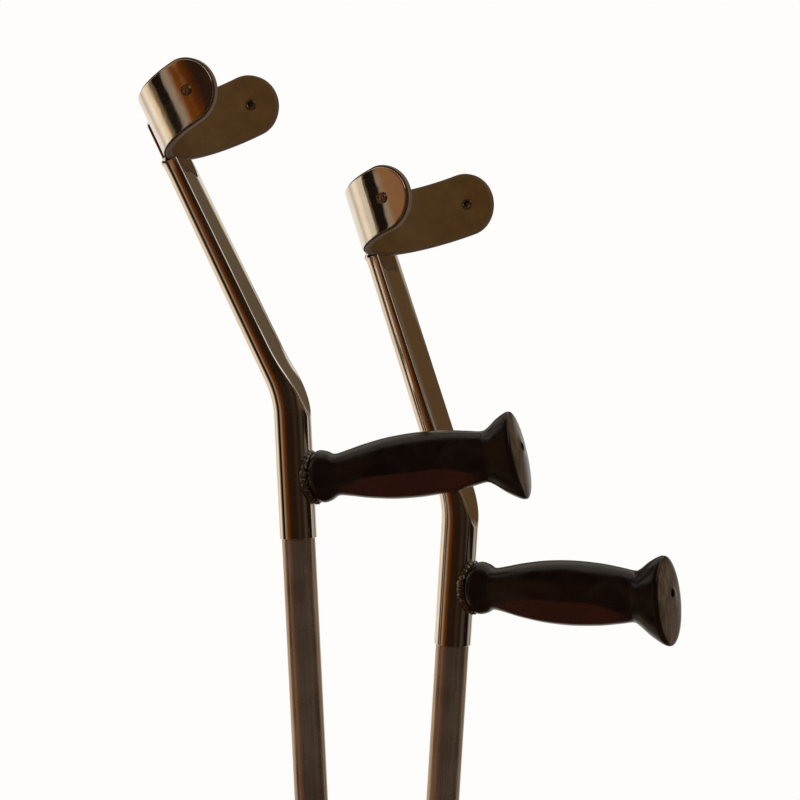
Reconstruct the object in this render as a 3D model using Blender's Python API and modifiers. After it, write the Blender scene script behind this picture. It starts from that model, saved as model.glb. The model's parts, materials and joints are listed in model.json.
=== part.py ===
"""A pair of forearm crutches, each an assembly of separate pieces.

Each crutch has its own frame: the origin is where the axes of leg and arm meet, +Z runs up the leg and +X
runs out along the handgrip. The arm leans back from the leg, and carries the cuff at its top. Places on the
arm are given in the arm's frame, whose +Z runs up the arm and whose +X faces the forearm.
"""
import math

import bmesh
import bpy
from mathutils import Euler, Matrix, Vector

MM = 0.001
FIT_GAP = 0.3 * MM
MERGE_DISTANCE = 0.005 * MM
CUTTER_REACH = 3.0 * MM

# Upper tube: chromed steel, round up to the bend and pressed to a D section above it
TUBE_RADIUS = 11.0 * MM
TUBE_WALL = 0.8 * MM
SLEEVE_END_Z = -85.5 * MM
BEND_ANGLE = math.radians(23.9)
BEND_RADIUS = 60.0 * MM
PRESS_LENGTH = 44.0 * MM
PRESSED_DEPTH = 15.0 * MM
PRESSED_DEPTH_ABOVE = 13.2 * MM
PRESSED_HALF_WIDTH = 12.0 * MM
DISH_DEPTH = 1.4 * MM
RIM_ROUNDING = 1.6 * MM
PLATE_HALF_WIDTH = 8.0 * MM
PLATE_TOP_ABOVE_CUFF = 26.0 * MM
PLATE_CORNER = 4.0 * MM
FLATTENING_LENGTH = 5.0 * MM

# Cuff: a strip of chromed sheet with round ends, rolled to a C about the forearm
CUFF_RADIUS = 54.3 * MM
CUFF_WALL = 1.0 * MM
CUFF_BACK_X = -5.2 * MM
CUFF_BOTTOM = 158.0 * MM
CUFF_END_RADIUS = 17.9 * MM
CUFF_EAR_REACH = 73.8 * MM
LINING_WALL = 3.5 * MM
LINING_LIP = 2.1 * MM
LINING_EDGE_ROUNDING = 1.2 * MM
EAR_RIVET_BEYOND = 1.2 * MM
STRIP_SHIFT = 1.1 * MM
CUFF_RIVET_LOW = 6.0 * MM
CUFF_RIVET_SPACING = 10.5 * MM

# Rivets
RIVET_SHANK_RADIUS = 2.0 * MM
RIVET_HEAD_RADIUS = 3.0 * MM
RIVET_HEAD_HEIGHT = 0.9 * MM
RIVET_BORE_RADIUS = 1.3 * MM
RIVET_LIP = 0.7 * MM
SLEEVE_RIVET_Z = -72.0 * MM

# Grip stub and handgrip
GRIP_AXIS_Z = -51.0 * MM
GRIP_TILT = math.radians(5.3)
STUB_RADIUS = 9.0 * MM
STUB_WALL = 2.0 * MM
STUB_END = 112.0 * MM
WELD_RADIUS = 14.2 * MM
WELD_REACH = 16.5 * MM
GRIP_START = 11.8 * MM
GRIP_HOLE_RADIUS = 1.7 * MM
GRIP_CREASE_HEIGHT = 0.18
GRIP_FLOOR_WIDTH = 0.40
GRIP_FLARE_START = 117.0 * MM
GRIP_END_LEAN = math.radians(5.0)
GRIP_FLARE_DROP = 1.8 * MM
# Distance from the tube's axis, half height and half width of the moulding, and how far it is facetted
GRIP_STATIONS = (
    (13.0, 14.8, 14.2, 0.0),
    (17.0, 15.6, 14.8, 0.0),
    (21.5, 14.6, 13.8, 0.0),
    (26.5, 12.4, 12.3, 0.1),
    (35.0, 13.8, 13.0, 0.5),
    (45.0, 15.9, 14.2, 1.0),
    (60.0, 18.1, 15.6, 1.0),
    (77.0, 18.9, 16.0, 1.0),
    (95.0, 18.0, 15.2, 1.0),
    (108.0, 16.2, 13.8, 0.8),
    (117.0, 14.9, 12.6, 0.3),
    (121.5, 16.8, 12.9, 0.0),
    (127.5, 21.4, 14.6, 0.0),
    (133.2, 24.7, 16.2, 0.0),
    (136.2, 25.6, 16.8, 0.0),
    (138.0, 24.6, 15.9, 0.0),
    (139.4, 20.5, 12.8, 0.0),
    (140.4, 11.0, 6.8, 0.0),
)

# Leg tube and the telescoping extension
LEG_RADIUS = 9.9 * MM
LEG_WALL = 1.2 * MM
LEG_TOP_Z = -30.0 * MM
LEG_END_Z = -687.0 * MM
HOLE_COUNT = 13
HOLE_PITCH = 21.5 * MM
LOWEST_HOLE_ABOVE_END = 30.0 * MM
EXTENSION_WALL = 1.3 * MM
EXTENSION_CLEARANCE = 0.4 * MM
EXTENSION_ABOVE_BUTTON = 60.0 * MM
BUTTON_TO_FOOT = 348.0 * MM
COLLAR_WALL = 2.8 * MM
COLLAR_HEIGHT = 18.0 * MM
COLLAR_LIP = 2.7 * MM

# Snap button and its leaf spring
BUTTON_RADIUS = 3.0 * MM
BUTTON_PROUD = 2.2 * MM
BUTTON_FLANGE_RADIUS = 4.2 * MM
BUTTON_FLANGE = 1.0 * MM
BUTTON_FLANGE_INSET = 1.9 * MM
SPRING_STRIP = 0.6 * MM
SPRING_WIDTH = 8.0 * MM
SPRING_LENGTH = 46.0 * MM

# Ferrule and its washer
FERRULE_HEIGHT = 50.0 * MM
FERRULE_FLOOR = 13.0 * MM
FERRULE_WALL = 3.6 * MM
FERRULE_BASE_RADIUS = 20.0 * MM
FERRULE_EASE = 1.0 * MM
FERRULE_RIBS = 3
FERRULE_RIB = 1.0 * MM
FERRULE_RIB_HEIGHT = 3.0 * MM
FERRULE_RIB_PITCH = 6.0 * MM
FERRULE_FIRST_RIB = 5.0 * MM
FERRULE_BELL_TOP = 25.0 * MM
FERRULE_BELL_WAIST = 17.0 * MM
FERRULE_BELL_FOOT = 10.5 * MM
FERRULE_EDGE_TOP = 6.0 * MM
TREAD_DEPTH = 2.0 * MM
WASHER_THICKNESS = 2.0 * MM
WASHER_BORE_RADIUS = 3.0 * MM

# How the pair stands: lean to the right and tilt backwards, the turn that brings the handgrip towards the
# viewer, the hole that the button sits in, counted from the lowest, and the foot's place on the floor
PLACEMENTS = {
    "a": {"lean": -2.69, "tilt": 1.40, "turn": 17.7, "hole": 6, "foot": (-5.9 * MM, -22.5 * MM)},
    "b": {"lean": 3.37, "tilt": -1.42, "turn": 30.8, "hole": 9, "foot": (5.9 * MM, 22.5 * MM)},
}

RING_POINTS = 24
TURNED_STEPS = 20
RIVET_STEPS = 10
STRIP_COLUMNS = 22
EAR_COLUMNS = 5

FINISHES = {
    "chrome": {"colour": (0.78, 0.74, 0.70, 1.0), "roughness": 0.08, "metallic": 1.0},
    "weld": {"colour": (0.42, 0.36, 0.31, 1.0), "roughness": 0.35, "metallic": 1.0},
    "anodised": {"colour": (0.24, 0.18, 0.14, 1.0), "roughness": 0.38, "metallic": 1.0},
    "aluminium": {"colour": (0.62, 0.61, 0.60, 1.0), "roughness": 0.32, "metallic": 1.0},
    "grip": {"colour": (0.022, 0.014, 0.011, 1.0), "roughness": 0.32, "metallic": 0.0},
    "leather": {"colour": (0.13, 0.075, 0.035, 1.0), "roughness": 0.62, "metallic": 0.0},
    "spring_steel": {"colour": (0.45, 0.45, 0.47, 1.0), "roughness": 0.28, "metallic": 1.0},
    "plastic": {"colour": (0.05, 0.045, 0.042, 1.0), "roughness": 0.5, "metallic": 0.0},
    "rubber": {"colour": (0.035, 0.034, 0.034, 1.0), "roughness": 0.85, "metallic": 0.0},
}

BEND_TANGENT = BEND_RADIUS * math.tan(BEND_ANGLE / 2)
BEND_LENGTH = BEND_RADIUS * BEND_ANGLE
CUFF_CENTRE_X = CUFF_BACK_X + CUFF_RADIUS
CUFF_MIDDLE = CUFF_BOTTOM + CUFF_END_RADIUS
EAR_RIVET_REACH = CUFF_EAR_REACH + EAR_RIVET_BEYOND
PLATE_FRONT = CUFF_BACK_X - FIT_GAP
PLATE_BACK = PLATE_FRONT - 2 * TUBE_WALL - FIT_GAP
PLATE_TOP = CUFF_BOTTOM + PLATE_TOP_ABOVE_CUFF
FLATTENED_AT = CUFF_BOTTOM - LINING_LIP - FIT_GAP
EXTENSION_RADIUS = LEG_RADIUS - LEG_WALL - EXTENSION_CLEARANCE
EXTENSION_BORE = EXTENSION_RADIUS - EXTENSION_WALL
BUTTON_HOLE_RADIUS = BUTTON_RADIUS + FIT_GAP
RIVET_HOLE_RADIUS = RIVET_SHANK_RADIUS + FIT_GAP
EXTENSION_END = FERRULE_FLOOR + WASHER_THICKNESS + 2 * FIT_GAP


def fresh_collection(name):
    group = bpy.data.collections.new(name)
    bpy.context.scene.collection.children.link(group)
    return group


def finish_material(name, finish):
    """A Principled material for one piece, in one of the named finishes."""
    look = FINISHES[finish]
    material = bpy.data.materials.new(name)
    material.use_nodes = True
    shader = material.node_tree.nodes["Principled BSDF"]
    shader.inputs["Base Color"].default_value = look["colour"]
    shader.inputs["Roughness"].default_value = look["roughness"]
    shader.inputs["Metallic"].default_value = look["metallic"]
    return material


def frame_empty(name, parent, location=(0, 0, 0), rotation=None):
    """An empty that carries pieces: a crutch's own frame, its arm, its grip axis or a joint."""
    empty = bpy.data.objects.new(name, None)
    empty.empty_display_size = 0.03
    empty.parent = parent
    empty.location = location
    if rotation is not None:
        empty.rotation_euler = rotation
    parts.objects.link(empty)
    return empty


def piece(name, shape, finish, parent, location=(0, 0, 0), rotation=(0, 0, 0)):
    """A named object from a bmesh, with its own material."""
    mesh = bpy.data.meshes.new(name)
    shape.to_mesh(mesh)
    shape.free()
    mesh.materials.append(finish_material(name, finish))
    mesh.shade_smooth()
    mesh.set_sharp_from_angle(angle=math.radians(35))
    made = bpy.data.objects.new(name, mesh)
    made.parent = parent
    made.location = location
    made.rotation_euler = rotation
    parts.objects.link(made)
    return made


def cutter(name, shape, parent, location=(0, 0, 0), rotation=(0, 0, 0)):
    """A hidden object that only cuts."""
    mesh = bpy.data.meshes.new(name)
    shape.to_mesh(mesh)
    shape.free()
    made = bpy.data.objects.new(name, mesh)
    made.parent = parent
    made.location = location
    made.rotation_euler = rotation
    made.hide_render = True
    made.display_type = "WIRE"
    cutters.objects.link(made)
    return made


def cut(target, tool):
    step = target.modifiers.new(f"cut by {tool.name}", "BOOLEAN")
    step.operation = "DIFFERENCE"
    step.solver = "EXACT"
    step.object = tool


def rod(radius, low, high, axis="Z", steps=16, places=((0, 0, 0),)):
    """Solid rods about one axis, from low to high along it, one for each place."""
    turns = {
        "X": Matrix.Rotation(math.pi / 2, 4, "Y"),
        "Y": Matrix.Rotation(-math.pi / 2, 4, "X"),
        "Z": Matrix(),
    }
    shape = bmesh.new()
    half_step = Matrix.Rotation(math.pi / steps, 4, "Z")
    middle = Matrix.Translation((0, 0, (low + high) / 2)) @ half_step
    for place in places:
        bmesh.ops.create_cone(
            shape, cap_ends=True, segments=steps, radius1=radius, radius2=radius, depth=high - low,
            matrix=Matrix.Translation(place) @ turns[axis] @ middle,
        )
    return shape


def profile(points, closed=False):
    """A profile in the XZ plane, run down its outer side, for the Screw modifier."""
    shape = bmesh.new()
    verts = [shape.verts.new((radius, 0, height)) for radius, height in points]
    for first, second in zip(verts, verts[1:]):
        shape.edges.new((first, second))
    if closed:
        shape.edges.new((verts[-1], verts[0]))
    return shape


def spun(target, steps=TURNED_STEPS):
    """The profile turned all round about its own Z."""
    turn = target.modifiers.new("turned", "SCREW")
    turn.axis = "Z"
    turn.angle = 2 * math.pi
    turn.steps = steps
    turn.render_steps = steps
    turn.use_merge_vertices = True
    turn.merge_threshold = MERGE_DISTANCE
    turn.use_smooth_shade = True
    return target


def tube_profile(outer, wall, low, high):
    inner = outer - wall
    return profile([(outer, high), (outer, low), (inner, low), (inner, high)], closed=True)


def loft(rings, inner_rings=()):
    """A closed skin over rings of equal length, with an open bore where inner rings are given.

    Both lists start at the same end, where the bore is open. The inner list ends inside the solid.
    """
    shape = bmesh.new()
    outside = [[shape.verts.new(point) for point in ring] for ring in rings]
    inside = [[shape.verts.new(point) for point in ring] for ring in inner_rings]
    count = len(rings[0])

    def bridge(first, second, flipped):
        for index in range(count):
            following = (index + 1) % count
            face = [first[index], first[following], second[following], second[index]]
            shape.faces.new(face[::-1] if flipped else face)

    for first, second in zip(outside, outside[1:]):
        bridge(first, second, False)
    for first, second in zip(inside, inside[1:]):
        bridge(first, second, True)
    shape.faces.new(outside[-1])
    if inside:
        bridge(outside[0], inside[0], True)
        shape.faces.new(inside[-1][::-1])
    else:
        shape.faces.new(outside[0][::-1])
    return shape


def mix(first, second, share):
    return first + (second - first) * share


def eased(value):
    """0 before 0, 1 after 1, and a smooth rise between them."""
    value = min(max(value, 0.0), 1.0)
    return value * value * (3 - 2 * value)


def soft_min(first, second, rounding):
    """The lower of two values, rounded where they cross."""
    if rounding <= 0:
        return min(first, second)
    share = min(max(0.5 + 0.5 * (second - first) / rounding, 0.0), 1.0)
    return mix(second, first, share) - rounding * share * (1 - share)


def tube_centre(along):
    """Place on the upper tube's axis and the direction of its front, from the start of the bend."""
    turned = min(max(along / BEND_RADIUS, 0.0), BEND_ANGLE)
    front = Vector((math.cos(turned), 0, math.sin(turned)))
    up = Vector((-math.sin(turned), 0, math.cos(turned)))
    place = Vector((-BEND_RADIUS, 0, -BEND_TANGENT)) + front * BEND_RADIUS
    straight = along - turned * BEND_RADIUS
    return place + up * straight, front


def tube_ring(along, inset=0.0, narrowing=0.0):
    """One section of the upper tube: round, then a dished D, then the flat plate behind the cuff."""
    pressed = eased(along / PRESS_LENGTH)
    flattened = eased((along - arm_to_along(FLATTENED_AT - FLATTENING_LENGTH)) / FLATTENING_LENGTH)
    radius = TUBE_RADIUS - inset
    above = min(max((along - PRESS_LENGTH) / (arm_to_along(FLATTENED_AT) - PRESS_LENGTH), 0.0), 1.0)
    depth = mix(PRESSED_DEPTH, PRESSED_DEPTH_ABOVE, above)
    front_limit = mix(mix(TUBE_RADIUS, depth - TUBE_RADIUS, pressed), PLATE_FRONT, flattened) - inset
    back_limit = mix(-TUBE_RADIUS, PLATE_BACK, flattened) + inset
    pressed_width = mix(TUBE_RADIUS, PRESSED_HALF_WIDTH, pressed)
    half_width = mix(pressed_width, PLATE_HALF_WIDTH, flattened) - inset - narrowing
    middle = mix(0.0, (PLATE_FRONT + PLATE_BACK) / 2, flattened)
    rounding = RIM_ROUNDING * pressed * (1 - flattened)
    dish = DISH_DEPTH * pressed * (1 - flattened)
    edge_share = min(max((front_limit - middle) / radius, -1.0), 1.0)
    edge = max(half_width * math.sqrt(1 - edge_share * edge_share), MM)
    place, front = tube_centre(along)
    ring = []
    for index in range(RING_POINTS):
        angle = 2 * math.pi * index / RING_POINTS
        side = half_width * math.sin(angle)
        forward = middle + radius * math.cos(angle)
        sunk = dish * max(0.0, 1 - (side / edge) ** 2) if math.cos(angle) > 0 else 0.0
        forward = max(soft_min(forward, front_limit, rounding) - sunk, back_limit)
        ring.append(place + front * forward + Vector((0, side, 0)))
    return ring


def arm_to_along(height):
    """Distance along the tube's axis for a height on the arm."""
    return height - BEND_TANGENT + BEND_LENGTH


def upper_tube_shape():
    """The whole upper tube, open below and flattened shut above."""
    low = SLEEVE_END_Z + BEND_TANGENT
    press_steps = 10
    flatten_steps = 5
    flat_from = arm_to_along(FLATTENED_AT - FLATTENING_LENGTH)
    stations = [low]
    stations += [PRESS_LENGTH * step / press_steps for step in range(press_steps + 1)]
    closing = [flat_from + FLATTENING_LENGTH * step / flatten_steps for step in range(flatten_steps + 1)]
    rings = [tube_ring(along) for along in stations + closing]
    top = arm_to_along(PLATE_TOP)
    for angle in (0, 30, 60, 90):
        turned = math.radians(angle)
        narrowing = PLATE_CORNER * (1 - math.cos(turned))
        rings.append(tube_ring(top - PLATE_CORNER * (1 - math.sin(turned)), 0.0, narrowing))
    bore_stations = stations[:1] + stations[1::2] + [flat_from, flat_from + FLATTENING_LENGTH / flatten_steps]
    bore = [tube_ring(along, TUBE_WALL) for along in bore_stations]
    return loft(rings, bore)


def strip_point(reach, height, radius):
    """A point of the rolled cuff in the arm's frame, from its place on the flat strip.

    reach is measured from the middle of the back along the outer face of the cuff.
    """
    side = 1 if reach >= 0 else -1
    quarter = CUFF_RADIUS * math.pi / 2
    rolled = min(abs(reach), quarter) / CUFF_RADIUS
    straight = max(abs(reach) - quarter, 0.0)
    forward = CUFF_CENTRE_X - radius * math.cos(rolled) + straight
    return Vector((forward, side * radius * math.sin(rolled), height))


def strip_direction(reach):
    """The outward direction of the rolled cuff in the arm's frame."""
    rolled = min(abs(reach) / CUFF_RADIUS, math.pi / 2)
    side = 1 if reach >= 0 else -1
    return Vector((-math.cos(rolled), side * math.sin(rolled), 0))


def rolled_strip(radius, lip):
    """The open face of the cuff or its lining: a strip with round ends, one row of faces high."""
    end_radius = CUFF_END_RADIUS + lip
    columns = []
    for step in range(STRIP_COLUMNS + 1):
        columns.append((mix(-CUFF_EAR_REACH, CUFF_EAR_REACH, step / STRIP_COLUMNS), end_radius))
    for step in range(1, EAR_COLUMNS + 1):
        turned = math.radians(84) * step / EAR_COLUMNS
        reach = CUFF_EAR_REACH + end_radius * math.sin(turned)
        columns.append((reach, end_radius * math.cos(turned)))
        columns.insert(0, (-reach, end_radius * math.cos(turned)))
    shape = bmesh.new()
    columns = [(reach - STRIP_SHIFT, half) for reach, half in columns]
    low = [shape.verts.new(strip_point(reach, CUFF_MIDDLE - half, radius)) for reach, half in columns]
    high = [shape.verts.new(strip_point(reach, CUFF_MIDDLE + half, radius)) for reach, half in columns]
    for index in range(len(columns) - 1):
        shape.faces.new((low[index], high[index], high[index + 1], low[index + 1]))
    return shape


def thickened(target, wall):
    """Walls of the given thickness, built inwards from the modelled outer face."""
    solid = target.modifiers.new("wall", "SOLIDIFY")
    solid.thickness = wall
    solid.offset = -1.0
    solid.use_even_offset = True
    return target


def softened(target, width, segments=1):
    bevel = target.modifiers.new("rounded edges", "BEVEL")
    bevel.width = width
    bevel.segments = segments
    bevel.limit_method = "ANGLE"
    bevel.angle_limit = math.radians(50)
    return target


def rivet_shape(stack):
    """A tubular rivet: a low domed head above Z 0 and a rolled eyelet below the stack that it clamps."""
    seat = FIT_GAP
    low = -stack - FIT_GAP
    bore_top = -1.0 * MM
    points = [(0, seat + RIVET_HEAD_HEIGHT)]
    points += [(0.6 * RIVET_HEAD_RADIUS, seat + 0.92 * RIVET_HEAD_HEIGHT)]
    points += [(RIVET_HEAD_RADIUS, seat + 0.35 * RIVET_HEAD_HEIGHT), (RIVET_HEAD_RADIUS, seat)]
    points += [(RIVET_SHANK_RADIUS, seat), (RIVET_SHANK_RADIUS, low), (RIVET_HEAD_RADIUS, low)]
    points += [(0.93 * RIVET_HEAD_RADIUS, low - 0.7 * RIVET_LIP), (0.7 * RIVET_HEAD_RADIUS, low - RIVET_LIP)]
    points += [(RIVET_BORE_RADIUS, low - 0.4 * RIVET_LIP), (RIVET_BORE_RADIUS, bore_top), (0, bore_top)]
    return profile(points)


def blind_rivet_shape(stack):
    """A blind rivet: a broad low head above Z 0, and its upset end below the walls."""
    head = RIVET_HEAD_RADIUS + 0.6 * MM
    seat = FIT_GAP
    low = -stack - FIT_GAP
    bulge = RIVET_SHANK_RADIUS + 0.8 * MM
    points = [(0, seat + RIVET_HEAD_HEIGHT), (0.7 * head, seat + 0.8 * RIVET_HEAD_HEIGHT), (head, seat)]
    points += [(RIVET_SHANK_RADIUS, seat), (RIVET_SHANK_RADIUS, low), (bulge, low - 0.4 * MM)]
    points += [(bulge, low - 1.6 * MM), (RIVET_SHANK_RADIUS, low - 2.2 * MM), (0, low - 2.2 * MM)]
    return profile(points)


def grip_section(along, half_height, half_width, faceted):
    """One ring of the handgrip about its axis: an oval with two flat faces low on its sides.

    Over the flare the rings drop and lean outwards below, so that the end face looks slightly up.
    """
    flare_length = GRIP_STATIONS[-1][0] * MM - GRIP_FLARE_START
    flared = max(0.0, along - GRIP_FLARE_START) / flare_length
    lean = math.tan(GRIP_END_LEAN) * flared
    drop = GRIP_FLARE_DROP * flared
    ring = []
    for index in range(RING_POINTS):
        angle = 2 * math.pi * index / RING_POINTS
        side = half_width * math.cos(angle)
        up = half_height * math.sin(angle)
        fall = (-up / half_height - GRIP_CREASE_HEIGHT) / (1 - GRIP_CREASE_HEIGHT)
        if fall > 0:
            limit = half_width * mix(0.98, GRIP_FLOOR_WIDTH, fall)
            kept = max(min(side, limit), -limit)
            side = mix(side, kept, faceted)
        ring.append(Vector((along - lean * up, side, up - drop)))
    return ring


def grip_shape():
    """The handgrip's outer skin, from its collar at the tube to the domed end."""
    first = GRIP_STATIONS[0]
    edge = (GRIP_START / MM, first[1] - 1.2, first[2] - 1.2, 0.0)
    stations = (edge,) + GRIP_STATIONS
    rings = [grip_section(along * MM, high * MM, wide * MM, flat) for along, high, wide, flat in stations]
    return loft(rings)


def ferrule_profile():
    """Rubber foot: a socket for the tube, three ribs, a bell and a treaded base."""
    socket = EXTENSION_RADIUS + FIT_GAP
    neck = socket + FERRULE_WALL
    base = FERRULE_BASE_RADIUS
    ease = FERRULE_EASE
    points = [(0, FERRULE_FLOOR), (socket, FERRULE_FLOOR), (socket, FERRULE_HEIGHT - ease)]
    points += [(socket + ease, FERRULE_HEIGHT), (neck - ease, FERRULE_HEIGHT), (neck, FERRULE_HEIGHT - ease)]
    for ring in range(FERRULE_RIBS):
        top = FERRULE_HEIGHT - FERRULE_FIRST_RIB - ring * FERRULE_RIB_PITCH
        ridge = (neck + FERRULE_RIB, top - FERRULE_RIB_HEIGHT / 2)
        points += [(neck, top), ridge, (neck, top - FERRULE_RIB_HEIGHT)]
    points += [(neck + 0.3 * MM, FERRULE_BELL_TOP), (mix(neck, base, 0.35), FERRULE_BELL_WAIST)]
    points += [(mix(neck, base, 0.8), FERRULE_BELL_FOOT), (base, FERRULE_EDGE_TOP)]
    points += [(base, ease), (base - ease, 0)]
    for outer, inner in ((0.72, 0.62), (0.42, 0.30)):
        points += [(base * outer, 0), (base * outer, TREAD_DEPTH)]
        points += [(base * inner, TREAD_DEPTH), (base * inner, 0)]
    points.append((0, 0))
    return profile(points)


def collar_profile():
    """Plastic guide ring over the leg tube's lower end, with a lip under the tube."""
    bore = LEG_RADIUS + FIT_GAP
    guide = EXTENSION_RADIUS + FIT_GAP
    outer = bore + COLLAR_WALL
    top = LEG_END_Z + COLLAR_HEIGHT
    low = LEG_END_Z - FIT_GAP - COLLAR_LIP
    points = [(bore, top), (outer - 1.2 * MM, top), (outer, top - 1.2 * MM)]
    points += [(outer, low + 1.2 * MM), (outer - 1.2 * MM, low), (guide, low), (guide, LEG_END_Z - FIT_GAP)]
    points += [(bore, LEG_END_Z - FIT_GAP)]
    return profile(points, closed=True)


def button_profile():
    """Snap button about Z, which points out of the tube: a domed pin on a flange."""
    tip = LEG_RADIUS + BUTTON_PROUD
    flange_top = EXTENSION_BORE - BUTTON_FLANGE_INSET
    points = [(0, tip), (0.55 * BUTTON_RADIUS, tip - 0.2 * BUTTON_RADIUS)]
    points += [(0.88 * BUTTON_RADIUS, tip - 0.5 * BUTTON_RADIUS), (BUTTON_RADIUS, tip - BUTTON_RADIUS)]
    points += [(BUTTON_RADIUS, flange_top), (BUTTON_FLANGE_RADIUS, flange_top)]
    points += [(BUTTON_FLANGE_RADIUS, flange_top - BUTTON_FLANGE), (0, flange_top - BUTTON_FLANGE)]
    return profile(points)


def spring_strip():
    """The open face of the hairpin leaf spring, from behind the button round to the far wall."""
    half = SPRING_WIDTH / 2
    near = -(EXTENSION_BORE - BUTTON_FLANGE_INSET - BUTTON_FLANGE - FIT_GAP - SPRING_STRIP / 2)
    far = math.sqrt(EXTENSION_BORE ** 2 - half ** 2) - FIT_GAP - SPRING_STRIP / 2
    bend = (far - near) / 2
    middle = (far + near) / 2
    bend_steps = 8
    route = [(near, 6 * MM)]
    for step in range(bend_steps + 1):
        angle = math.pi * step / bend_steps
        route.append((middle - bend * math.cos(angle), -SPRING_LENGTH - bend * math.sin(angle)))
    route.append((far, 2 * MM))
    shape = bmesh.new()
    left = [shape.verts.new((x, -half, z)) for x, z in route]
    right = [shape.verts.new((x, half, z)) for x, z in route]
    for index in range(len(route) - 1):
        shape.faces.new((left[index], left[index + 1], right[index + 1], right[index]))
    return shape


def stub_shape():
    """The grip stub's tube with its weld fillet, before the upper tube's place is cut out of it."""
    bore = STUB_RADIUS - STUB_WALL
    points = [(bore, STUB_END), (STUB_RADIUS, STUB_END), (STUB_RADIUS, WELD_REACH)]
    points += [(mix(STUB_RADIUS, WELD_RADIUS, 0.35), mix(WELD_REACH, 2 * MM, 0.4))]
    points += [(WELD_RADIUS, 3 * MM), (WELD_RADIUS, 1 * MM), (bore, 1 * MM)]
    return profile(points, closed=True)


def build_arm(key, crutch, arm):
    """Upper tube, cuff, lining and their rivets."""
    tube = piece(f"upper_tube_{key}", upper_tube_shape(), "chrome", crutch)
    shell = thickened(piece(f"forearm_cuff_{key}", rolled_strip(CUFF_RADIUS, 0.0), "chrome", arm), CUFF_WALL)
    lining_face = CUFF_RADIUS - CUFF_WALL - FIT_GAP
    lining_strip = rolled_strip(lining_face, LINING_LIP)
    lining = thickened(piece(f"cuff_lining_{key}", lining_strip, "leather", arm), LINING_WALL)
    softened(lining, LINING_EDGE_ROUNDING)
    cuff_stack = CUFF_WALL + FIT_GAP + LINING_WALL
    plate_stack = cuff_stack + CUFF_BACK_X - PLATE_BACK

    def rivet(name, place, outward, stack, through):
        facing = outward.to_track_quat("Z", "Y").to_euler()
        head = spun(piece(name, rivet_shape(stack), "chrome", arm, place, facing), RIVET_STEPS)
        hole = rod(RIVET_HOLE_RADIUS, -stack - CUTTER_REACH, CUTTER_REACH, steps=12)
        tool = cutter(f"{name}_hole", hole, arm, place, facing)
        for target in through:
            cut(target, tool)
        return head

    for name, side in (("near", -1), ("far", 1)):
        reach = side * EAR_RIVET_REACH - STRIP_SHIFT
        place = strip_point(reach, CUFF_MIDDLE, CUFF_RADIUS)
        rivet(f"ear_rivet_{name}_{key}", place, strip_direction(reach), cuff_stack, (shell, lining))
    for name, rise in (("low", 0.0), ("top", CUFF_RIVET_SPACING)):
        place = Vector((PLATE_BACK, 0, CUFF_BOTTOM + CUFF_RIVET_LOW + rise))
        rivet(f"cuff_rivet_{name}_{key}", place, Vector((-1, 0, 0)), plate_stack, (tube, shell, lining))
    return tube


def build_grip(key, crutch):
    """Grip stub with its weld, and the moulded handgrip over it."""
    axis = frame_empty(f"grip_axis_{key}", crutch, (0, 0, GRIP_AXIS_Z), (0, -GRIP_TILT, 0))
    along_grip = (0, math.pi / 2, 0)
    stub = spun(piece(f"grip_stub_{key}", stub_shape(), "weld", axis, rotation=along_grip))
    clear_radius = (TUBE_RADIUS + FIT_GAP) / math.cos(math.pi / RING_POINTS)
    clear = rod(clear_radius, GRIP_AXIS_Z - 2 * WELD_REACH, GRIP_AXIS_Z + 2 * WELD_REACH, steps=RING_POINTS)
    saddle = cutter(f"grip_saddle_{key}", clear, crutch)
    cut(stub, saddle)
    grip = piece(f"handgrip_{key}", grip_shape(), "grip", axis)
    end = (GRIP_STATIONS[-1][0] + 5) * MM
    mouth = WELD_RADIUS * 0.84 + FIT_GAP
    bore = [(0, GRIP_START - CUTTER_REACH), (mouth, GRIP_START - CUTTER_REACH), (mouth, GRIP_START)]
    bore += [(STUB_RADIUS + FIT_GAP, WELD_REACH + FIT_GAP), (STUB_RADIUS + FIT_GAP, STUB_END + FIT_GAP)]
    bore += [(GRIP_HOLE_RADIUS, STUB_END + FIT_GAP), (GRIP_HOLE_RADIUS, end), (0, end)]
    tool = cutter(f"handgrip_bore_{key}", profile(bore[::-1]), axis, rotation=along_grip)
    cut(grip, spun(tool))
    cut(grip, saddle)


def build_leg(key, crutch, tube, button_height):
    """Leg tube with its row of holes, the rivet that holds it, and the end collar."""
    wall = tube_profile(LEG_RADIUS, LEG_WALL, LEG_END_Z, LEG_TOP_Z)
    leg = spun(piece(f"leg_tube_{key}", wall, "anodised", crutch))
    lowest = LEG_END_Z + LOWEST_HOLE_ABOVE_END
    places = [(0, 0, lowest + index * HOLE_PITCH) for index in range(HOLE_COUNT)]
    holes = rod(BUTTON_HOLE_RADIUS, -LEG_RADIUS - CUTTER_REACH, -LEG_RADIUS / 2, "X", 12, places)
    cut(leg, cutter(f"leg_holes_{key}", holes, crutch))
    facing_side = (-math.pi / 2, 0, 0)
    place = (0, TUBE_RADIUS, SLEEVE_RIVET_Z)
    stack = TUBE_RADIUS - LEG_RADIUS + LEG_WALL
    rivet = piece(f"sleeve_rivet_{key}", blind_rivet_shape(stack), "aluminium", crutch, place, facing_side)
    spun(rivet, RIVET_STEPS)
    hole = rod(RIVET_HOLE_RADIUS, -stack - CUTTER_REACH, CUTTER_REACH, steps=12)
    tool = cutter(f"sleeve_rivet_hole_{key}", hole, crutch, place, facing_side)
    cut(tube, tool)
    cut(leg, tool)
    spun(piece(f"end_collar_{key}", collar_profile(), "plastic", crutch))
    build_extension(key, crutch, button_height)


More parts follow.
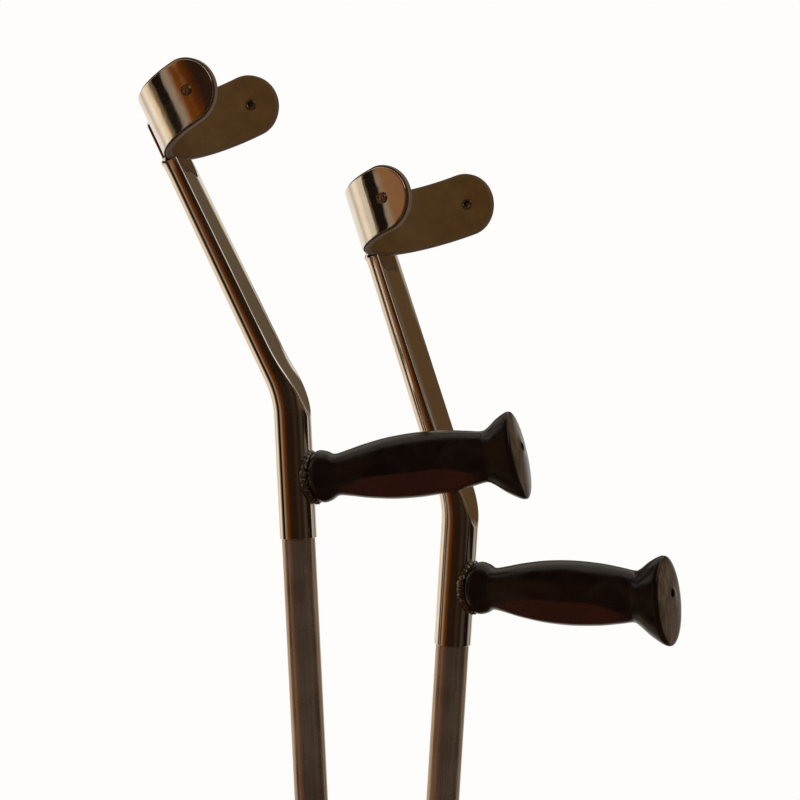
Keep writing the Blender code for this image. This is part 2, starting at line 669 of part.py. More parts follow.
def build_extension(key, crutch, button_height):
    """The sliding lower end: tube, snap button, leaf spring, ferrule and washer."""
    slide = frame_empty(f"extension_slide_{key}", crutch, (0, 0, button_height))
    foot = -BUTTON_TO_FOOT
    body = tube_profile(EXTENSION_RADIUS, EXTENSION_WALL, foot + EXTENSION_END, EXTENSION_ABOVE_BUTTON)
    tube = spun(piece(f"extension_tube_{key}", body, "aluminium", slide))
    hole = rod(BUTTON_HOLE_RADIUS, -EXTENSION_RADIUS - CUTTER_REACH, -EXTENSION_RADIUS / 2, "X", 12)
    cut(tube, cutter(f"button_hole_{key}", hole, slide))
    press = frame_empty(f"button_press_{key}", slide)
    facing_back = (0, -math.pi / 2, 0)
    spun(piece(f"snap_button_{key}", button_profile(), "spring_steel", press, rotation=facing_back), 16)
    spring = piece(f"button_spring_{key}", spring_strip(), "spring_steel", slide)
    thickened(spring, SPRING_STRIP).modifiers["wall"].offset = 0.0
    at_foot = (0, 0, foot)
    spun(piece(f"ferrule_{key}", ferrule_profile(), "rubber", slide, at_foot))
    ring = tube_profile(EXTENSION_RADIUS, EXTENSION_RADIUS - WASHER_BORE_RADIUS, 0, WASHER_THICKNESS)
    on_floor = (0, 0, foot + FERRULE_FLOOR + FIT_GAP)
    spun(piece(f"ferrule_washer_{key}", ring, "spring_steel", slide, on_floor), 16)


def build_crutch(key, pair):
    """One whole crutch, standing on its foot."""
    stand = PLACEMENTS[key]
    button_height = LEG_END_Z + LOWEST_HOLE_ABOVE_END + stand["hole"] * HOLE_PITCH
    leg_length = BUTTON_TO_FOOT - button_height
    angles = [math.radians(-stand["tilt"]), math.radians(stand["lean"]), math.radians(-stand["turn"])]
    turned = Euler(angles, "ZXY")
    up = turned.to_matrix() @ Vector((0, 0, 1))
    lifted = (FERRULE_BASE_RADIUS - FERRULE_EASE) * math.sqrt(1 - up.z * up.z)
    foot = Vector((stand["foot"][0], stand["foot"][1], lifted))
    crutch = frame_empty(f"crutch_{key}", pair, foot + up * leg_length)
    crutch.rotation_mode = "ZXY"
    crutch.rotation_euler = turned
    arm = frame_empty(f"arm_{key}", crutch, rotation=(0, -BEND_ANGLE, 0))
    tube = build_arm(key, crutch, arm)
    build_grip(key, crutch)
    build_leg(key, crutch, tube, button_height)


def centre_on_floor(pair):
    """Move the pair so that the origin is below its middle, at floor level."""
    bpy.context.view_layer.update()
    graph = bpy.context.evaluated_depsgraph_get()
    corners = []
    for made in parts.objects:
        if made.type == "MESH":
            shown = made.evaluated_get(graph)
            corners += [shown.matrix_world @ vert.co for vert in shown.data.vertices]
    low = [min(corner[axis] for corner in corners) for axis in range(3)]
    high = [max(corner[axis] for corner in corners) for axis in range(3)]
    pair.location = (-(low[0] + high[0]) / 2, -(low[1] + high[1]) / 2, -low[2])


for leftover in list(bpy.data.objects):
    bpy.data.objects.remove(leftover, do_unlink=True)
parts = fresh_collection("pair_of_crutches")
cutters = fresh_collection("cutters")
whole = frame_empty("pair", None)
for crutch_key in PLACEMENTS:
    build_crutch(crutch_key, whole)
centre_on_floor(whole)
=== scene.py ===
"""Finish and fine surfaces of a pair of forearm crutches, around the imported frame.

Each crutch is modelled in its own frame, in metres: the origin is where the axes of leg and arm meet, +Z runs
up the leg and +X runs out along the handgrip. The arm's frame leans back by the bend. A finished mesh is then
moved to where its crutch stands.
"""

import json
import math

import bmesh
import bpy
from mathutils import Matrix, Vector, noise


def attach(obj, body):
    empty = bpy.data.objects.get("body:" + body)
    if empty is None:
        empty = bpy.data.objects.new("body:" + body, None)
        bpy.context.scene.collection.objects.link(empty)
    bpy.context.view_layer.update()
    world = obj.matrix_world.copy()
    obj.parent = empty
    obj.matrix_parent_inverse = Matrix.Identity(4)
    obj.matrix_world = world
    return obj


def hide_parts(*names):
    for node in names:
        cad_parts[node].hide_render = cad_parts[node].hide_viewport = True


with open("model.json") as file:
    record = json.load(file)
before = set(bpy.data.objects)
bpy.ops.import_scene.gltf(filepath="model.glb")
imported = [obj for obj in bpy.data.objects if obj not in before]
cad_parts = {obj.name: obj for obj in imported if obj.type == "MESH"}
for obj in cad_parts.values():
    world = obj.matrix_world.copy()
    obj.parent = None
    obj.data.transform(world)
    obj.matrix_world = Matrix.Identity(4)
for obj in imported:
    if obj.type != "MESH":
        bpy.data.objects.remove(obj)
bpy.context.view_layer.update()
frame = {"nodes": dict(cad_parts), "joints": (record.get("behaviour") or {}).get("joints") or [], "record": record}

MM = 0.001
SMOOTH_DEGREES = 40
MERGE_DISTANCE = 0.004 * MM
HOLE_SIDES = 32
# Scale of drawn metal's pattern along it, as a share of its scale across
DRAWN_STRETCH = 0.012

# Upper tube
TUBE_RADIUS = 11.0 * MM
SLEEVE_END_Z = -85.5 * MM
SLEEVE_WALL = 0.8 * MM
SLEEVE_INSIDE_DEPTH = 12.0 * MM
SLEEVE_EDGE_ROUNDING = 0.15 * MM
BEND_ANGLE = math.radians(23.9)
BEND_RADIUS = 60.0 * MM
PRESS_START = -1.5 * MM
PRESS_LENGTH = 44.0 * MM
PRESSED_DEPTH = 15.0 * MM
PRESSED_DEPTH_ABOVE = 13.2 * MM
PRESSED_HALF_WIDTH = 12.0 * MM
DISH_DEPTH = 1.4 * MM
RIM_ROUNDING = 2.0 * MM
FLATTENING_LENGTH = 0.8 * MM
BACK_TAPER_BELOW = 3.0 * MM
BACK_TAPER_ABOVE = 2.4 * MM
PLATE_HALF_WIDTH = 8.0 * MM
PLATE_THICKNESS = 1.9 * MM
PLATE_TOP_ABOVE_CUFF = 26.0 * MM
PLATE_CORNER = 4.0 * MM

# The upper tube's skin: points in a section, how far past the press the sections stand close and from where
# they stand wide, and the steps in each stretch
TUBE_RING_POINTS = 192
CLOSE_RINGS_PAST_PRESS = 6.0 * MM
WIDE_RINGS_PAST_PRESS = 12.0 * MM
CLOSE_RINGS = 54
WIDE_RINGS = 16
FLATTENING_RINGS = 10
TAPER_RINGS = 8
CORNER_RINGS = 8

# Cuff and lining
CUFF_RADIUS = 54.3 * MM
CUFF_WALL = 1.0 * MM
CUFF_BACK_X = -5.2 * MM
CUFF_BOTTOM = 158.0 * MM
CUFF_END_RADIUS = 17.9 * MM
CUFF_EAR_REACH = 73.8 * MM
CUFF_EDGE_ROUNDING = 0.35 * MM
LINING_GAP = 0.3 * MM
LINING_WALL = 3.5 * MM
LINING_LIP = 1.3 * MM
LINING_EDGE_ROUNDING = 0.7 * MM
LINING_EDGE_BAND = 3.0 * MM
FAR_ARM_FROM_Y = -10.0 * MM
FAR_ARM_WHOLE_Y = 25.0 * MM
STRIP_SHIFT = 1.1 * MM
STRIP_COLUMNS = 160
STRIP_END_STEPS = 36
STRIP_ROWS = 12
STRIP_EDGE_STEPS = 5
EAR_RIVET_REACH = 75.0 * MM
EAR_DIMPLE_RADIUS = 4.6 * MM
EAR_DIMPLE_DEPTH = 0.77 * MM
EYELET_HOLE_DEPTH = 3.0 * MM
CUFF_RIVET_LOW = 6.0 * MM
CUFF_RIVET_SPACING = 10.5 * MM

# Rivets
RIVET_HEAD_RADIUS = 3.4 * MM
RIVET_HEAD_HEIGHT = 0.8 * MM
RIVET_HEAD_ROUNDING = 0.55 * MM
RIVET_CROWN_FALL = 0.15 * MM
RIVET_GROOVE_RADIUS = 2.448 * MM
RIVET_GROOVE_HALF_WIDTH = 0.35 * MM
RIVET_GROOVE_DEPTH = 0.25 * MM
RIVET_UNDERCUT = 0.2 * MM
RIVET_UNDERSIDE = 0.02 * MM
RIVET_BORE_RADIUS = 1.7 * MM
RIVET_BORE_END_Z = -1.0 * MM
RIVET_WALL = 0.4 * MM
RIVET_LIP = 0.9 * MM
RIVET_SEAT = 0.3 * MM
RIVET_STEPS = 48
PLATE_RIVET_SUNK = 1.6 * MM
SLEEVE_RIVET_Z = -72.0 * MM
BLIND_HEAD_RADIUS = 4.0 * MM
BLIND_HEAD_FALL = 0.93
BLIND_HEAD_CORE = 0.45
BLIND_SHANK_RADIUS = 2.0 * MM
BLIND_SHANK_LENGTH = 2.6 * MM
BLIND_STEPS = 40
MANDREL_RADIUS = 0.9 * MM
MANDREL_STEP = 0.1 * MM

# Handgrip
GRIP_AXIS_Z = -51.0 * MM
GRIP_TILT = math.radians(5.3)
GRIP_CREASE_HEIGHT = 0.16
GRIP_CREASE_DROP = 0.62
GRIP_FLAT_TOP_WIDTH = 0.965
GRIP_FLAT_LOW_WIDTH = 0.40
GRIP_FLARE_START = 117.0 * MM
GRIP_END_LEAN = math.radians(5.0)
GRIP_FLARE_DROP = 1.8 * MM
GRIP_SIDES = 128
GRIP_SUBSTEPS = 6
# Distance from the tube's axis, half height, half width and how far the section is facetted, in mm
GRIP_STATIONS = (
    (13.6, 13.6, 13.0, 0.0),
    (13.9, 14.3, 13.7, 0.0),
    (14.8, 14.9, 14.3, 0.0),
    (17.6, 15.6, 14.8, 0.0),
    (21.5, 14.6, 13.8, 0.0),
    (26.5, 12.4, 12.3, 0.15),
    (35.0, 13.8, 13.0, 0.55),
    (45.0, 15.9, 14.2, 0.9),
    (60.0, 18.1, 15.6, 1.0),
    (77.0, 18.9, 16.0, 1.0),
    (95.0, 18.0, 15.2, 0.95),
    (108.0, 16.2, 13.8, 0.7),
    (117.0, 14.9, 12.6, 0.3),
    (121.5, 16.8, 12.9, 0.0),
    (127.5, 21.4, 14.6, 0.0),
    (133.2, 24.7, 16.2, 0.0),
    (136.2, 25.6, 16.8, 0.0),
    (138.0, 24.6, 15.9, 0.0),
    (139.2, 20.5, 12.8, 0.0),
    (140.1, 11.0, 6.8, 0.0),
)
GRIP_FACET_FROM = 24.0 * MM
GRIP_FACET_TO = 120.0 * MM
GRIP_FACET_FADE = 14.0 * MM
GRIP_FACET_SLOPE = 0.42
GRIP_FACET_SLOPE_FADE = 0.10
GRIP_FACE_FROM = 134.5 * MM
GRIP_FACE_FADE = 1.5 * MM
GRIP_FACE_SLOPE = 0.80
GRIP_FACE_SLOPE_FADE = 0.14
GRIP_HOLE_RADIUS = 2.3 * MM
GRIP_HOLE_DEPTH = 14.0 * MM
GRIP_HOLE_RISE = 4.8 * MM
GRIP_HOLE_LIP_WIDTH = 0.5 * MM
GRIP_HOLE_LIP_RISE = 0.3 * MM
GRIP_HOLE_LIP_DEPTH = 0.4 * MM

# Weld
WELD_HALF_HEIGHT = 14.4 * MM
WELD_HALF_WIDTH = 9.6 * MM
WELD_SIDE_RADIUS = 2.9 * MM
WELD_TOP_RADIUS = 1.6 * MM
WELD_SEAT_SHARE = 0.45
WELD_RIPPLES = 25
WELD_RIPPLE_HEIGHT = 0.75 * MM
WELD_RIPPLE_SUNK = 0.8
WELD_RIPPLE_LAG = 0.3
WELD_ROUGHNESS = 0.45 * MM
WELD_LUMP_SIZE = 1.6 * MM
WELD_LUMPS_AROUND = 1.4
WELD_SIDES = 24
WELD_STEPS_PER_RIPPLE = 12

# Leg, extension and foot
LEG_RADIUS = 9.9 * MM
LEG_WALL = 1.2 * MM
LEG_TOP_Z = -62.0 * MM
LEG_END_Z = -687.0 * MM
HOLE_COUNT = 13
HOLE_PITCH = 21.5 * MM
LOWEST_HOLE_ABOVE_END = 30.0 * MM
BUTTON_HOLE_RADIUS = 3.3 * MM
EXTENSION_WALL = 1.3 * MM
EXTENSION_CLEARANCE = 0.4 * MM
EXTENSION_ABOVE_BUTTON = 60.0 * MM
EXTENSION_ABOVE_FERRULE_FLOOR = 2.6 * MM
BUTTON_TO_FOOT = 348.0 * MM
COLLAR_WALL = 2.8 * MM
COLLAR_HEIGHT = 18.0 * MM
COLLAR_LIP = 2.7 * MM
COLLAR_GAP = 0.3 * MM
COLLAR_CORNER = 1.2 * MM
COLLAR_CORNER_CUT = 0.35 * MM
COLLAR_EASE = 0.2 * MM
COLLAR_GROOVES = 3
COLLAR_FIRST_GROOVE = 5.5 * MM
COLLAR_GROOVE_PITCH = 4.0 * MM
COLLAR_GROOVE_HALF_WIDTH = 0.8 * MM
COLLAR_GROOVE_DEPTH = 0.5 * MM
FERRULE_HEIGHT = 50.0 * MM
FERRULE_FLOOR = 13.0 * MM
FERRULE_WALL = 3.6 * MM
FERRULE_BASE_RADIUS = 20.0 * MM
FERRULE_CORNER = 1.0 * MM
FERRULE_CORNER_CUT = 0.3 * MM
FERRULE_EASE = 0.25 * MM
FERRULE_RIBS = 3
FERRULE_FIRST_RIB = 5.0 * MM
FERRULE_RIB_PITCH = 6.0 * MM
FERRULE_RIB = 1.0 * MM
FERRULE_RIB_HALF_HEIGHT = 1.5 * MM
FERRULE_BELL_TOP = 25.0 * MM
FERRULE_BELL_LOW = 6.0 * MM
FERRULE_BELL_STEP = 0.2 * MM
FERRULE_BELL_FLARE = 1.6
FERRULE_BELL_FALL = 0.92
# Outer and inner edge of each round groove in the tread, as shares of the base
FERRULE_TREADS = ((0.72, 0.62), (0.42, 0.30))
TREAD_DEPTH = 2.0 * MM
TURNED_STEPS = 96

# The photograph: focal length, pitch of the camera, and where crutch a's bend shows, in its 800 pixel frame
PHOTO_SIZE = 800
PHOTO_FOCAL_PIXELS = 2150.0
PHOTO_PITCH = math.radians(3.73)
BEND_MARK_ABOVE = 4.3 * MM
BEND_MARK_PIXEL = (291.1, 386.4)
BEND_MARK_DEPTH = 1.2709
SENSOR_WIDTH_MM = 36.0

# The studio, in metres: the floor and where it fades to white, and each lamp's place, size and watts
FLOOR_RADIUS = 2.2
FLOOR_FADE_FROM = 0.35
FLOOR_FADE_TO = 1.7
LAMP_AIM = Vector((0, 0, 0.7))
LAMPS = (
    ("key_light", (-1.3, -1.6, 2.2), 1.6, 22.0),
    ("fill_light", (1.7, -1.2, 1.3), 1.4, 9.0),
    ("rim_light", (0.4, 1.9, 1.9), 1.6, 14.0),
)
# What the bright metal mirrors, by the angle in degrees to the left of the front as the crutches see it
MIRRORED_ROOM = (
    (-180, "#f4f1ea"), (-150, "#e0dcd3"), (-134, "#574e43"), (-118, "#ada294"), (-106, "#8d8375"),
    (-100, "#18110b"), (-72, "#18110b"), (-54, "#463a2c"), (-36, "#20160d"), (-14, "#34261b"),
    (2, "#25150b"), (42, "#2a1a0e"), (54, "#5c2c08"), (66, "#6d3a12"), (75, "#96826c"),
    (81, "#8a7c6c"), (84, "#1a120b"), (100, "#1a120b"), (102, "#68563f"), (107, "#7d6950"),
    (113, "#e9cda8"), (126, "#fdf1df"), (138, "#cbb9a1"), (146, "#efe6da"), (180, "#f4f1ea"),
)
# Panels in that room, each laid over the ones before it: its colour, and for each axis that bounds it, where
# it starts to show and where it is whole
ROOM_PANELS = (
    ("#54392a", (("Z", -0.55, -0.85),)),
    ("#f1ebe1", (("Z", 0.24, 0.32), ("Y", -0.02, 0.10))),
    ("#5f5140", (("Z", 0.07, 0.17), ("Y", 0.44, 0.54))),
    ("#58422a", (("Z", 0.02, 0.10), ("X", 0.66, 0.74))),
    ("#89613f", (("Z", -0.06, 0.01), ("X", -0.80, -0.88), ("Y", -0.10, -0.18))),
)

BEND_TANGENT = BEND_RADIUS * math.tan(BEND_ANGLE / 2)
BEND_LENGTH = BEND_RADIUS * BEND_ANGLE
CUFF_CENTRE_X = CUFF_BACK_X + CUFF_RADIUS
CUFF_MIDDLE = CUFF_BOTTOM + CUFF_END_RADIUS
CUFF_STACK = CUFF_WALL + LINING_GAP + LINING_WALL
PLATE_FRONT = CUFF_BACK_X - LINING_GAP
PLATE_BACK = PLATE_FRONT - PLATE_THICKNESS
FLATTENED_AT = CUFF_BOTTOM - LINING_LIP - LINING_GAP
RIVET_SHANK_RADIUS = RIVET_BORE_RADIUS + RIVET_WALL
EXTENSION_RADIUS = LEG_RADIUS - LEG_WALL - EXTENSION_CLEARANCE
EXTENSION_LOW = FERRULE_FLOOR + EXTENSION_ABOVE_FERRULE_FLOOR - BUTTON_TO_FOOT
LOWEST_BUTTON_Z = LEG_END_Z + LOWEST_HOLE_ABOVE_END
BEND_ABOVE_FOOT_FULLY_OUT = BUTTON_TO_FOOT - LOWEST_BUTTON_Z


def linear(hex_colour):
    """The linear RGBA of an sRGB hex value."""
    channels = [int(hex_colour[index:index + 2], 16) / 255 for index in (1, 3, 5)]
    return tuple(c / 12.92 if c <= 0.04045 else ((c + 0.055) / 1.055) ** 2.4 for c in channels) + (1.0,)


def feed(tree, node, inputs):
    """Sets a node's inputs, each to a value, an output, or the first output that another node has in use."""
    for name, value in inputs.items():
        if isinstance(value, bpy.types.Node):
            value = next(output for output in value.outputs if output.enabled)
        if isinstance(value, bpy.types.NodeSocket):
            tree.links.new(value, node.inputs[name])
        else:
            node.inputs[name].default_value = value


def add(tree, kind, inputs=None, stops=(), **settings):
    """Adds a node with its settings, its inputs and, on a colour ramp, its stops of position and colour."""
    node = tree.nodes.new(kind)
    for name, value in settings.items():
        setattr(node, name, value)
    feed(tree, node, inputs or {})
    for _ in stops[2:]:
        node.color_ramp.elements.new(0.5)
    for index, (position, colour) in enumerate(stops):
        node.color_ramp.elements[index].position = position
        node.color_ramp.elements[index].color = linear(colour)
    return node


def joint(name):
    return next(entry for entry in frame["joints"] if entry["name"] == name)


def crutch_place(key):
    """Where a crutch stands: its own frame, from its foot, the way its button faces and its leg's length."""
    foot = next(entry for entry in frame["record"]["mounts"] if entry["name"] == f"foot_{key}")
    up = -Vector(foot["axis"])
    front = Vector(joint(f"button_press_{key}")["axis"])
    facing = Matrix((front, up.cross(front), up)).transposed().to_4x4()
    reach = BEND_ABOVE_FOOT_FULLY_OUT - joint(f"leg_length_{key}")["range_m"][1]
    return Matrix.Translation(Vector(foot["pos_m"]) + up * reach) @ facing


def surface(name, place):
    """A new material, its nodes, and coordinates along the crutch's own axes."""
    material = bpy.data.materials.new(name)
    material.use_nodes = True
    tree = material.node_tree
    coordinates = add(tree, "ShaderNodeTexCoord")
    local = add(
        tree, "ShaderNodeMapping",
        {"Vector": coordinates.outputs["Object"], "Location": place.to_translation(),
         "Rotation": place.to_euler()},
        vector_type="TEXTURE",
    )
    return material, tree, local


def completed(material, colour, roughness, relief, strength, depth, plain, under=None):
    """Gives a material its colour, roughness, fine relief over what lies under it, and plain values."""
    tree = material.node_tree
    skin = add(tree, "ShaderNodeBump", {"Height": relief, "Strength": strength, "Distance": depth})
    if under:
        feed(tree, skin, {"Normal": under})
    varied = {"Base Color": colour, "Roughness": roughness, "Normal": skin}
    feed(tree, tree.nodes["Principled BSDF"], {**varied, **plain})
    return material


def along_the_tube(tree, local):
    """Coordinates across the bent tube that hardly change along it, so that a pattern runs as lines."""
    across_leg = add(tree, "ShaderNodeVectorMath", {0: local, 1: (1.0, 0.0, 0.0)}, operation="DOT_PRODUCT")
    arm_front = (math.cos(BEND_ANGLE), 0.0, math.sin(BEND_ANGLE))
    across_arm = add(tree, "ShaderNodeVectorMath", {0: local, 1: arm_front}, operation="DOT_PRODUCT")
    across = add(tree, "ShaderNodeMath", {0: across_leg, 1: across_arm}, operation="MAXIMUM")
    parts = add(tree, "ShaderNodeSeparateXYZ", {"Vector": local})
    slow = add(tree, "ShaderNodeMath", {0: parts.outputs["Z"], 1: DRAWN_STRETCH}, operation="MULTIPLY")
    return add(tree, "ShaderNodeCombineXYZ", {"X": across, "Y": parts.outputs["Y"], "Z": slow})


def mottled(tree, local, size, detail, stops, roughness=0.5):
    """Clouds of one size, and the colours that they spread between."""
    clouds = add(
        tree, "ShaderNodeTexNoise",
        {"Vector": local, "Scale": 1 / size, "Detail": detail, "Roughness": roughness},
    )
    return clouds, add(tree, "ShaderNodeValToRGB", {"Fac": clouds}, stops)


def chrome_plate(name, place, smudge_size, scratch_strength, wave_size, wave_depth, drawn):
    """Chromium plate over polished steel: a mirror with smudges, fine wiping scratches and shallow waves.

    The waves are what drawing leaves along a tube, or rolling leaves in a sheet. The scratches are drawn
    coarser than real ones, as coarse as they need to show.
    """
    material, tree, local = surface(name, place)
    smudges, tint = mottled(tree, local, smudge_size, 5.0, [(0.30, "#f1ece5"), (0.70, "#e4dcd2")])
    dulled = add(
        tree, "ShaderNodeMapRange",
        {"Value": smudges, "From Min": 0.42, "From Max": 0.72, "To Min": 0.045, "To Max": 0.14},
    )
    wiped = add(
        tree, "ShaderNodeMapping", {"Vector": local, "Rotation": (0.4, 0.3, 0.7), "Scale": (1.0, 0.06, 1.0)},
    )
    scratches, worn = mottled(tree, wiped, 0.5 * MM, 2.0, [(0.60, "#000000"), (0.74, "#ffffff")], 0.7)
    share = add(tree, "ShaderNodeMath", {0: worn, 1: scratch_strength}, operation="MULTIPLY")
    scratched = add(
        tree, "ShaderNodeMix", {"Factor": share, "A": tint, "B": linear("#8d7a69")}, data_type="RGBA",
    )
    waves = add(
        tree, "ShaderNodeTexNoise",
        {"Vector": along_the_tube(tree, local) if drawn else local, "Scale": 1 / wave_size, "Detail": 1.5},
    )
    waved = add(tree, "ShaderNodeBump", {"Height": waves, "Strength": 1.0, "Distance": wave_depth})
    return completed(material, scratched, dulled, scratches, 0.03, 0.05 * MM, {"Metallic": 1.0}, waved)


def rivet_metal(name, place):
    """Plated rivet gone dull and brown, its bore painted near black as painted shade."""
    material, tree, local = surface(name, place)
    tarnish, tint = mottled(tree, local, 1.3 * MM, 4.0, [(0.35, "#7a6048"), (0.65, "#cdb394")])
    bore = add(tree, "ShaderNodeAttribute", attribute_name="inside_bore")
    # The bore, marked by inside_bore, is painted near black: painted shade in the hole.
    painted_bore_shade = add(
        tree, "ShaderNodeMix", {"Factor": bore.outputs["Fac"], "A": tint, "B": linear("#0d0806")},
        data_type="RGBA",
    )
    dulled = add(tree, "ShaderNodeMapRange", {"Value": tarnish, "To Min": 0.28, "To Max": 0.5})
    return completed(material, painted_bore_shade, dulled, tarnish, 0.25, 0.2 * MM, {"Metallic": 1.0})


def weld_metal(name, place):
    """Steel weld bead under thin chromium: bright ripples, brown heat tint and a rough, pitted skin."""
    material, tree, local = surface(name, place)
    stops = [(0.35, "#4a4038"), (0.55, "#8f8377"), (0.68, "#e6ddd2")]
    pits, tint = mottled(tree, local, 1.1 * MM, 6.0, stops, 0.65)
    dulled = add(tree, "ShaderNodeMapRange", {"Value": pits, "To Min": 0.18, "To Max": 0.5})
    return completed(material, tint, dulled, pits, 0.8, 0.5 * MM, {"Metallic": 1.0})


def drawn_metal(name, place, light, dark, metallic, roughness):
    """Drawn metal with a satin finish: fine lines along the piece blur what it mirrors.

    The lines are drawn coarser than real ones, as coarse as they need to show.
    """
    material, tree, local = surface(name, place)
    drawn = add(tree, "ShaderNodeMapping", {"Vector": local, "Scale": (1.0, 1.0, DRAWN_STRETCH)})
    lines = add(
        tree, "ShaderNodeTexNoise",
        {"Vector": drawn, "Scale": 1 / (0.45 * MM), "Detail": 4.0, "Roughness": 0.6},
    )
    clouds = add(tree, "ShaderNodeTexNoise", {"Vector": local, "Scale": 1 / (24 * MM), "Detail": 3.0})
    blended = add(tree, "ShaderNodeMix", {"Factor": 0.35, "A": lines, "B": clouds}, data_type="FLOAT")
    tint = add(tree, "ShaderNodeValToRGB", {"Fac": blended}, [(0.36, dark), (0.62, light)])
    dulled = add(
        tree, "ShaderNodeMapRange",
        {"Value": clouds, "From Min": 0.3, "From Max": 0.7, "To Min": roughness - 0.05,
         "To Max": roughness + 0.08},
    )
    return completed(material, tint, dulled, lines, 0.12, 0.06 * MM, {"Metallic": metallic})


def moulded_plastic(name, place, light, dark, roughness, pebble):
    """Moulded plastic: near black brown, a soft gloss, the mould's fine pebble and faint flow marks.

    The attribute lower_facet marks the flat faces below, painted redder: a painted reflection of warm light.
    The attribute end_face marks where it is scuffed.
    """
    material, tree, local = surface(name, place)
    flow = add(
        tree, "ShaderNodeTexNoise",
        {"Vector": local, "Scale": 1 / (16 * MM), "Detail": 4.0, "Distortion": 0.6},
    )
    tint = add(tree, "ShaderNodeValToRGB", {"Fac": flow}, [(0.35, dark), (0.68, light)])
    facet = add(tree, "ShaderNodeAttribute", attribute_name="lower_facet")
    # The lower facets are painted redder: a painted reflection of warm light, not the plastic's own colour.
    painted_warm_facet = add(
        tree, "ShaderNodeMix", {"Factor": facet.outputs["Fac"], "A": tint, "B": linear("#290f07")},
        data_type="RGBA",
    )
    streaked = add(tree, "ShaderNodeMapping", {"Vector": local, "Scale": (1.0, 1.0, 0.25)})
    scuffed = mottled(tree, streaked, 2.5 * MM, 5.0, [(0.38, "#33261b"), (0.66, "#4f3f30")], 0.65)[1]
    face = add(tree, "ShaderNodeAttribute", attribute_name="end_face")
    coloured = add(
        tree, "ShaderNodeMix", {"Factor": face.outputs["Fac"], "A": painted_warm_facet, "B": scuffed}, data_type="RGBA",
    )
    handled = add(
        tree, "ShaderNodeMapRange",
        {"Value": flow, "From Min": 0.3, "From Max": 0.7, "To Min": roughness - 0.06,
         "To Max": roughness + 0.10},
    )
    grain = add(tree, "ShaderNodeTexNoise", {"Vector": local, "Scale": 1 / (0.6 * MM), "Detail": 3.0})
    return completed(material, coloured, handled, grain, pebble, 0.08 * MM, {"Specular IOR Level": 0.3})


def lining_leather(name, place):
    """Thick smooth leather: a brown face, a paler cut edge, and a line of painted shade where the edge meets the
    face.

    The edge of the far arm is painted a single darker brown as painted shade. The attribute rim_distance is how
    far a point lies inside the outline.
    """
    material, tree, local = surface(name, place)
    face = mottled(tree, local, 9 * MM, 6.0, [(0.25, "#452c0c"), (0.75, "#543911")], 0.6)[1]
    rim = add(tree, "ShaderNodeAttribute", attribute_name="rim_distance")
    band = add(tree, "ShaderNodeMapRange", {"Value": rim.outputs["Fac"], "From Max": LINING_EDGE_BAND})
    # Along the rim: the paler cut edge, then a dark line of painted shade where lining meets cuff, then brown.
    stops = [(0.0, "#5b4939"), (0.10, "#65513f"), (0.17, "#24140a"), (0.34, "#3d2611")]
    edge = add(tree, "ShaderNodeValToRGB", {"Fac": band}, stops)
    parts = add(tree, "ShaderNodeSeparateXYZ", {"Vector": local})
    # The far arm's edge is painted a single darker brown: painted shade on the side turned from the light.
    far_arm = add(
        tree, "ShaderNodeMapRange",
        {"Value": parts.outputs["Y"], "From Min": FAR_ARM_FROM_Y, "From Max": FAR_ARM_WHOLE_Y},
    )
    far_edge_painted_shade = add(
        tree, "ShaderNodeMix", {"Factor": far_arm, "A": edge, "B": linear("#4c3722")}, data_type="RGBA",
    )
    near_edge = add(tree, "ShaderNodeValToRGB", {"Fac": band}, [(0.30, "#ffffff"), (0.55, "#000000")])
    coloured = add(tree, "ShaderNodeMix", {"Factor": near_edge, "A": face, "B": far_edge_painted_shade}, data_type="RGBA")
    grain = add(
        tree, "ShaderNodeTexVoronoi", {"Vector": local, "Scale": 1 / (0.9 * MM), "Randomness": 1.0},
        feature="F1",
    )
    creases = add(tree, "ShaderNodeTexNoise", {"Vector": local, "Scale": 1 / (4 * MM), "Detail": 5.0})
    skin = add(tree, "ShaderNodeMath", {0: grain, 1: creases}, operation="ADD")
    return completed(material, coloured, 0.55, skin, 0.25, 0.12 * MM, {"Specular IOR Level": 0.25})


def moulded_rubber(name, place):
    """Black ferrule rubber: dull, paler where it is dusty, with a fine rough skin."""
    material, tree, local = surface(name, place)
    tint = mottled(tree, local, 7 * MM, 8.0, [(0.40, "#1c1a19"), (0.75, "#3a3531")], 0.7)[1]
    grain = add(tree, "ShaderNodeTexNoise", {"Vector": local, "Scale": 1 / (0.5 * MM), "Detail": 4.0})
    return completed(material, tint, 0.82, grain, 0.35, 0.15 * MM, {})


def placed(name, shape, place):
    """Makes a bmesh an object of the scene, with its place in its mesh."""
    mesh = bpy.data.meshes.new(name)
    shape.to_mesh(mesh)
    shape.free()
    mesh.transform(place)
    made = bpy.data.objects.new(name, mesh)
    bpy.context.scene.collection.objects.link(made)
    return made


def finished(name, shape, place, material, body, replaced, smooth_degrees=SMOOTH_DEGREES):
    """Makes a bmesh a piece with its finish, which rides on a body and stands for a node."""
    made = placed(name, shape, place)
    made.data.materials.append(material)
    made.data.shade_smooth()
    made.data.set_sharp_from_angle(angle=math.radians(smooth_degrees))
    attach(made, body)
    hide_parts(replaced)
    return made


def closed(shape):
    """Merges seams and poles and turns every face outwards."""
    bmesh.ops.remove_doubles(shape, verts=shape.verts, dist=MERGE_DISTANCE)
    bmesh.ops.recalc_face_normals(shape, faces=shape.faces)
    return shape


def next_ring(shape, ring):
    """Draws a ring of edges out to a new ring, and gives its vertices in the same order."""
    around = set(ring)
    edges = [edge for vert in ring for edge in vert.link_edges if edge.other_vert(vert) in around]
    grown = bmesh.ops.extrude_edge_only(shape, edges=list(set(edges)))
    fresh = {item for item in grown["geom"] if isinstance(item, bmesh.types.BMVert)}
    beside = [[edge.other_vert(vert) for edge in vert.link_edges] for vert in ring]
    return [next(other for other in others if other in fresh) for others in beside]


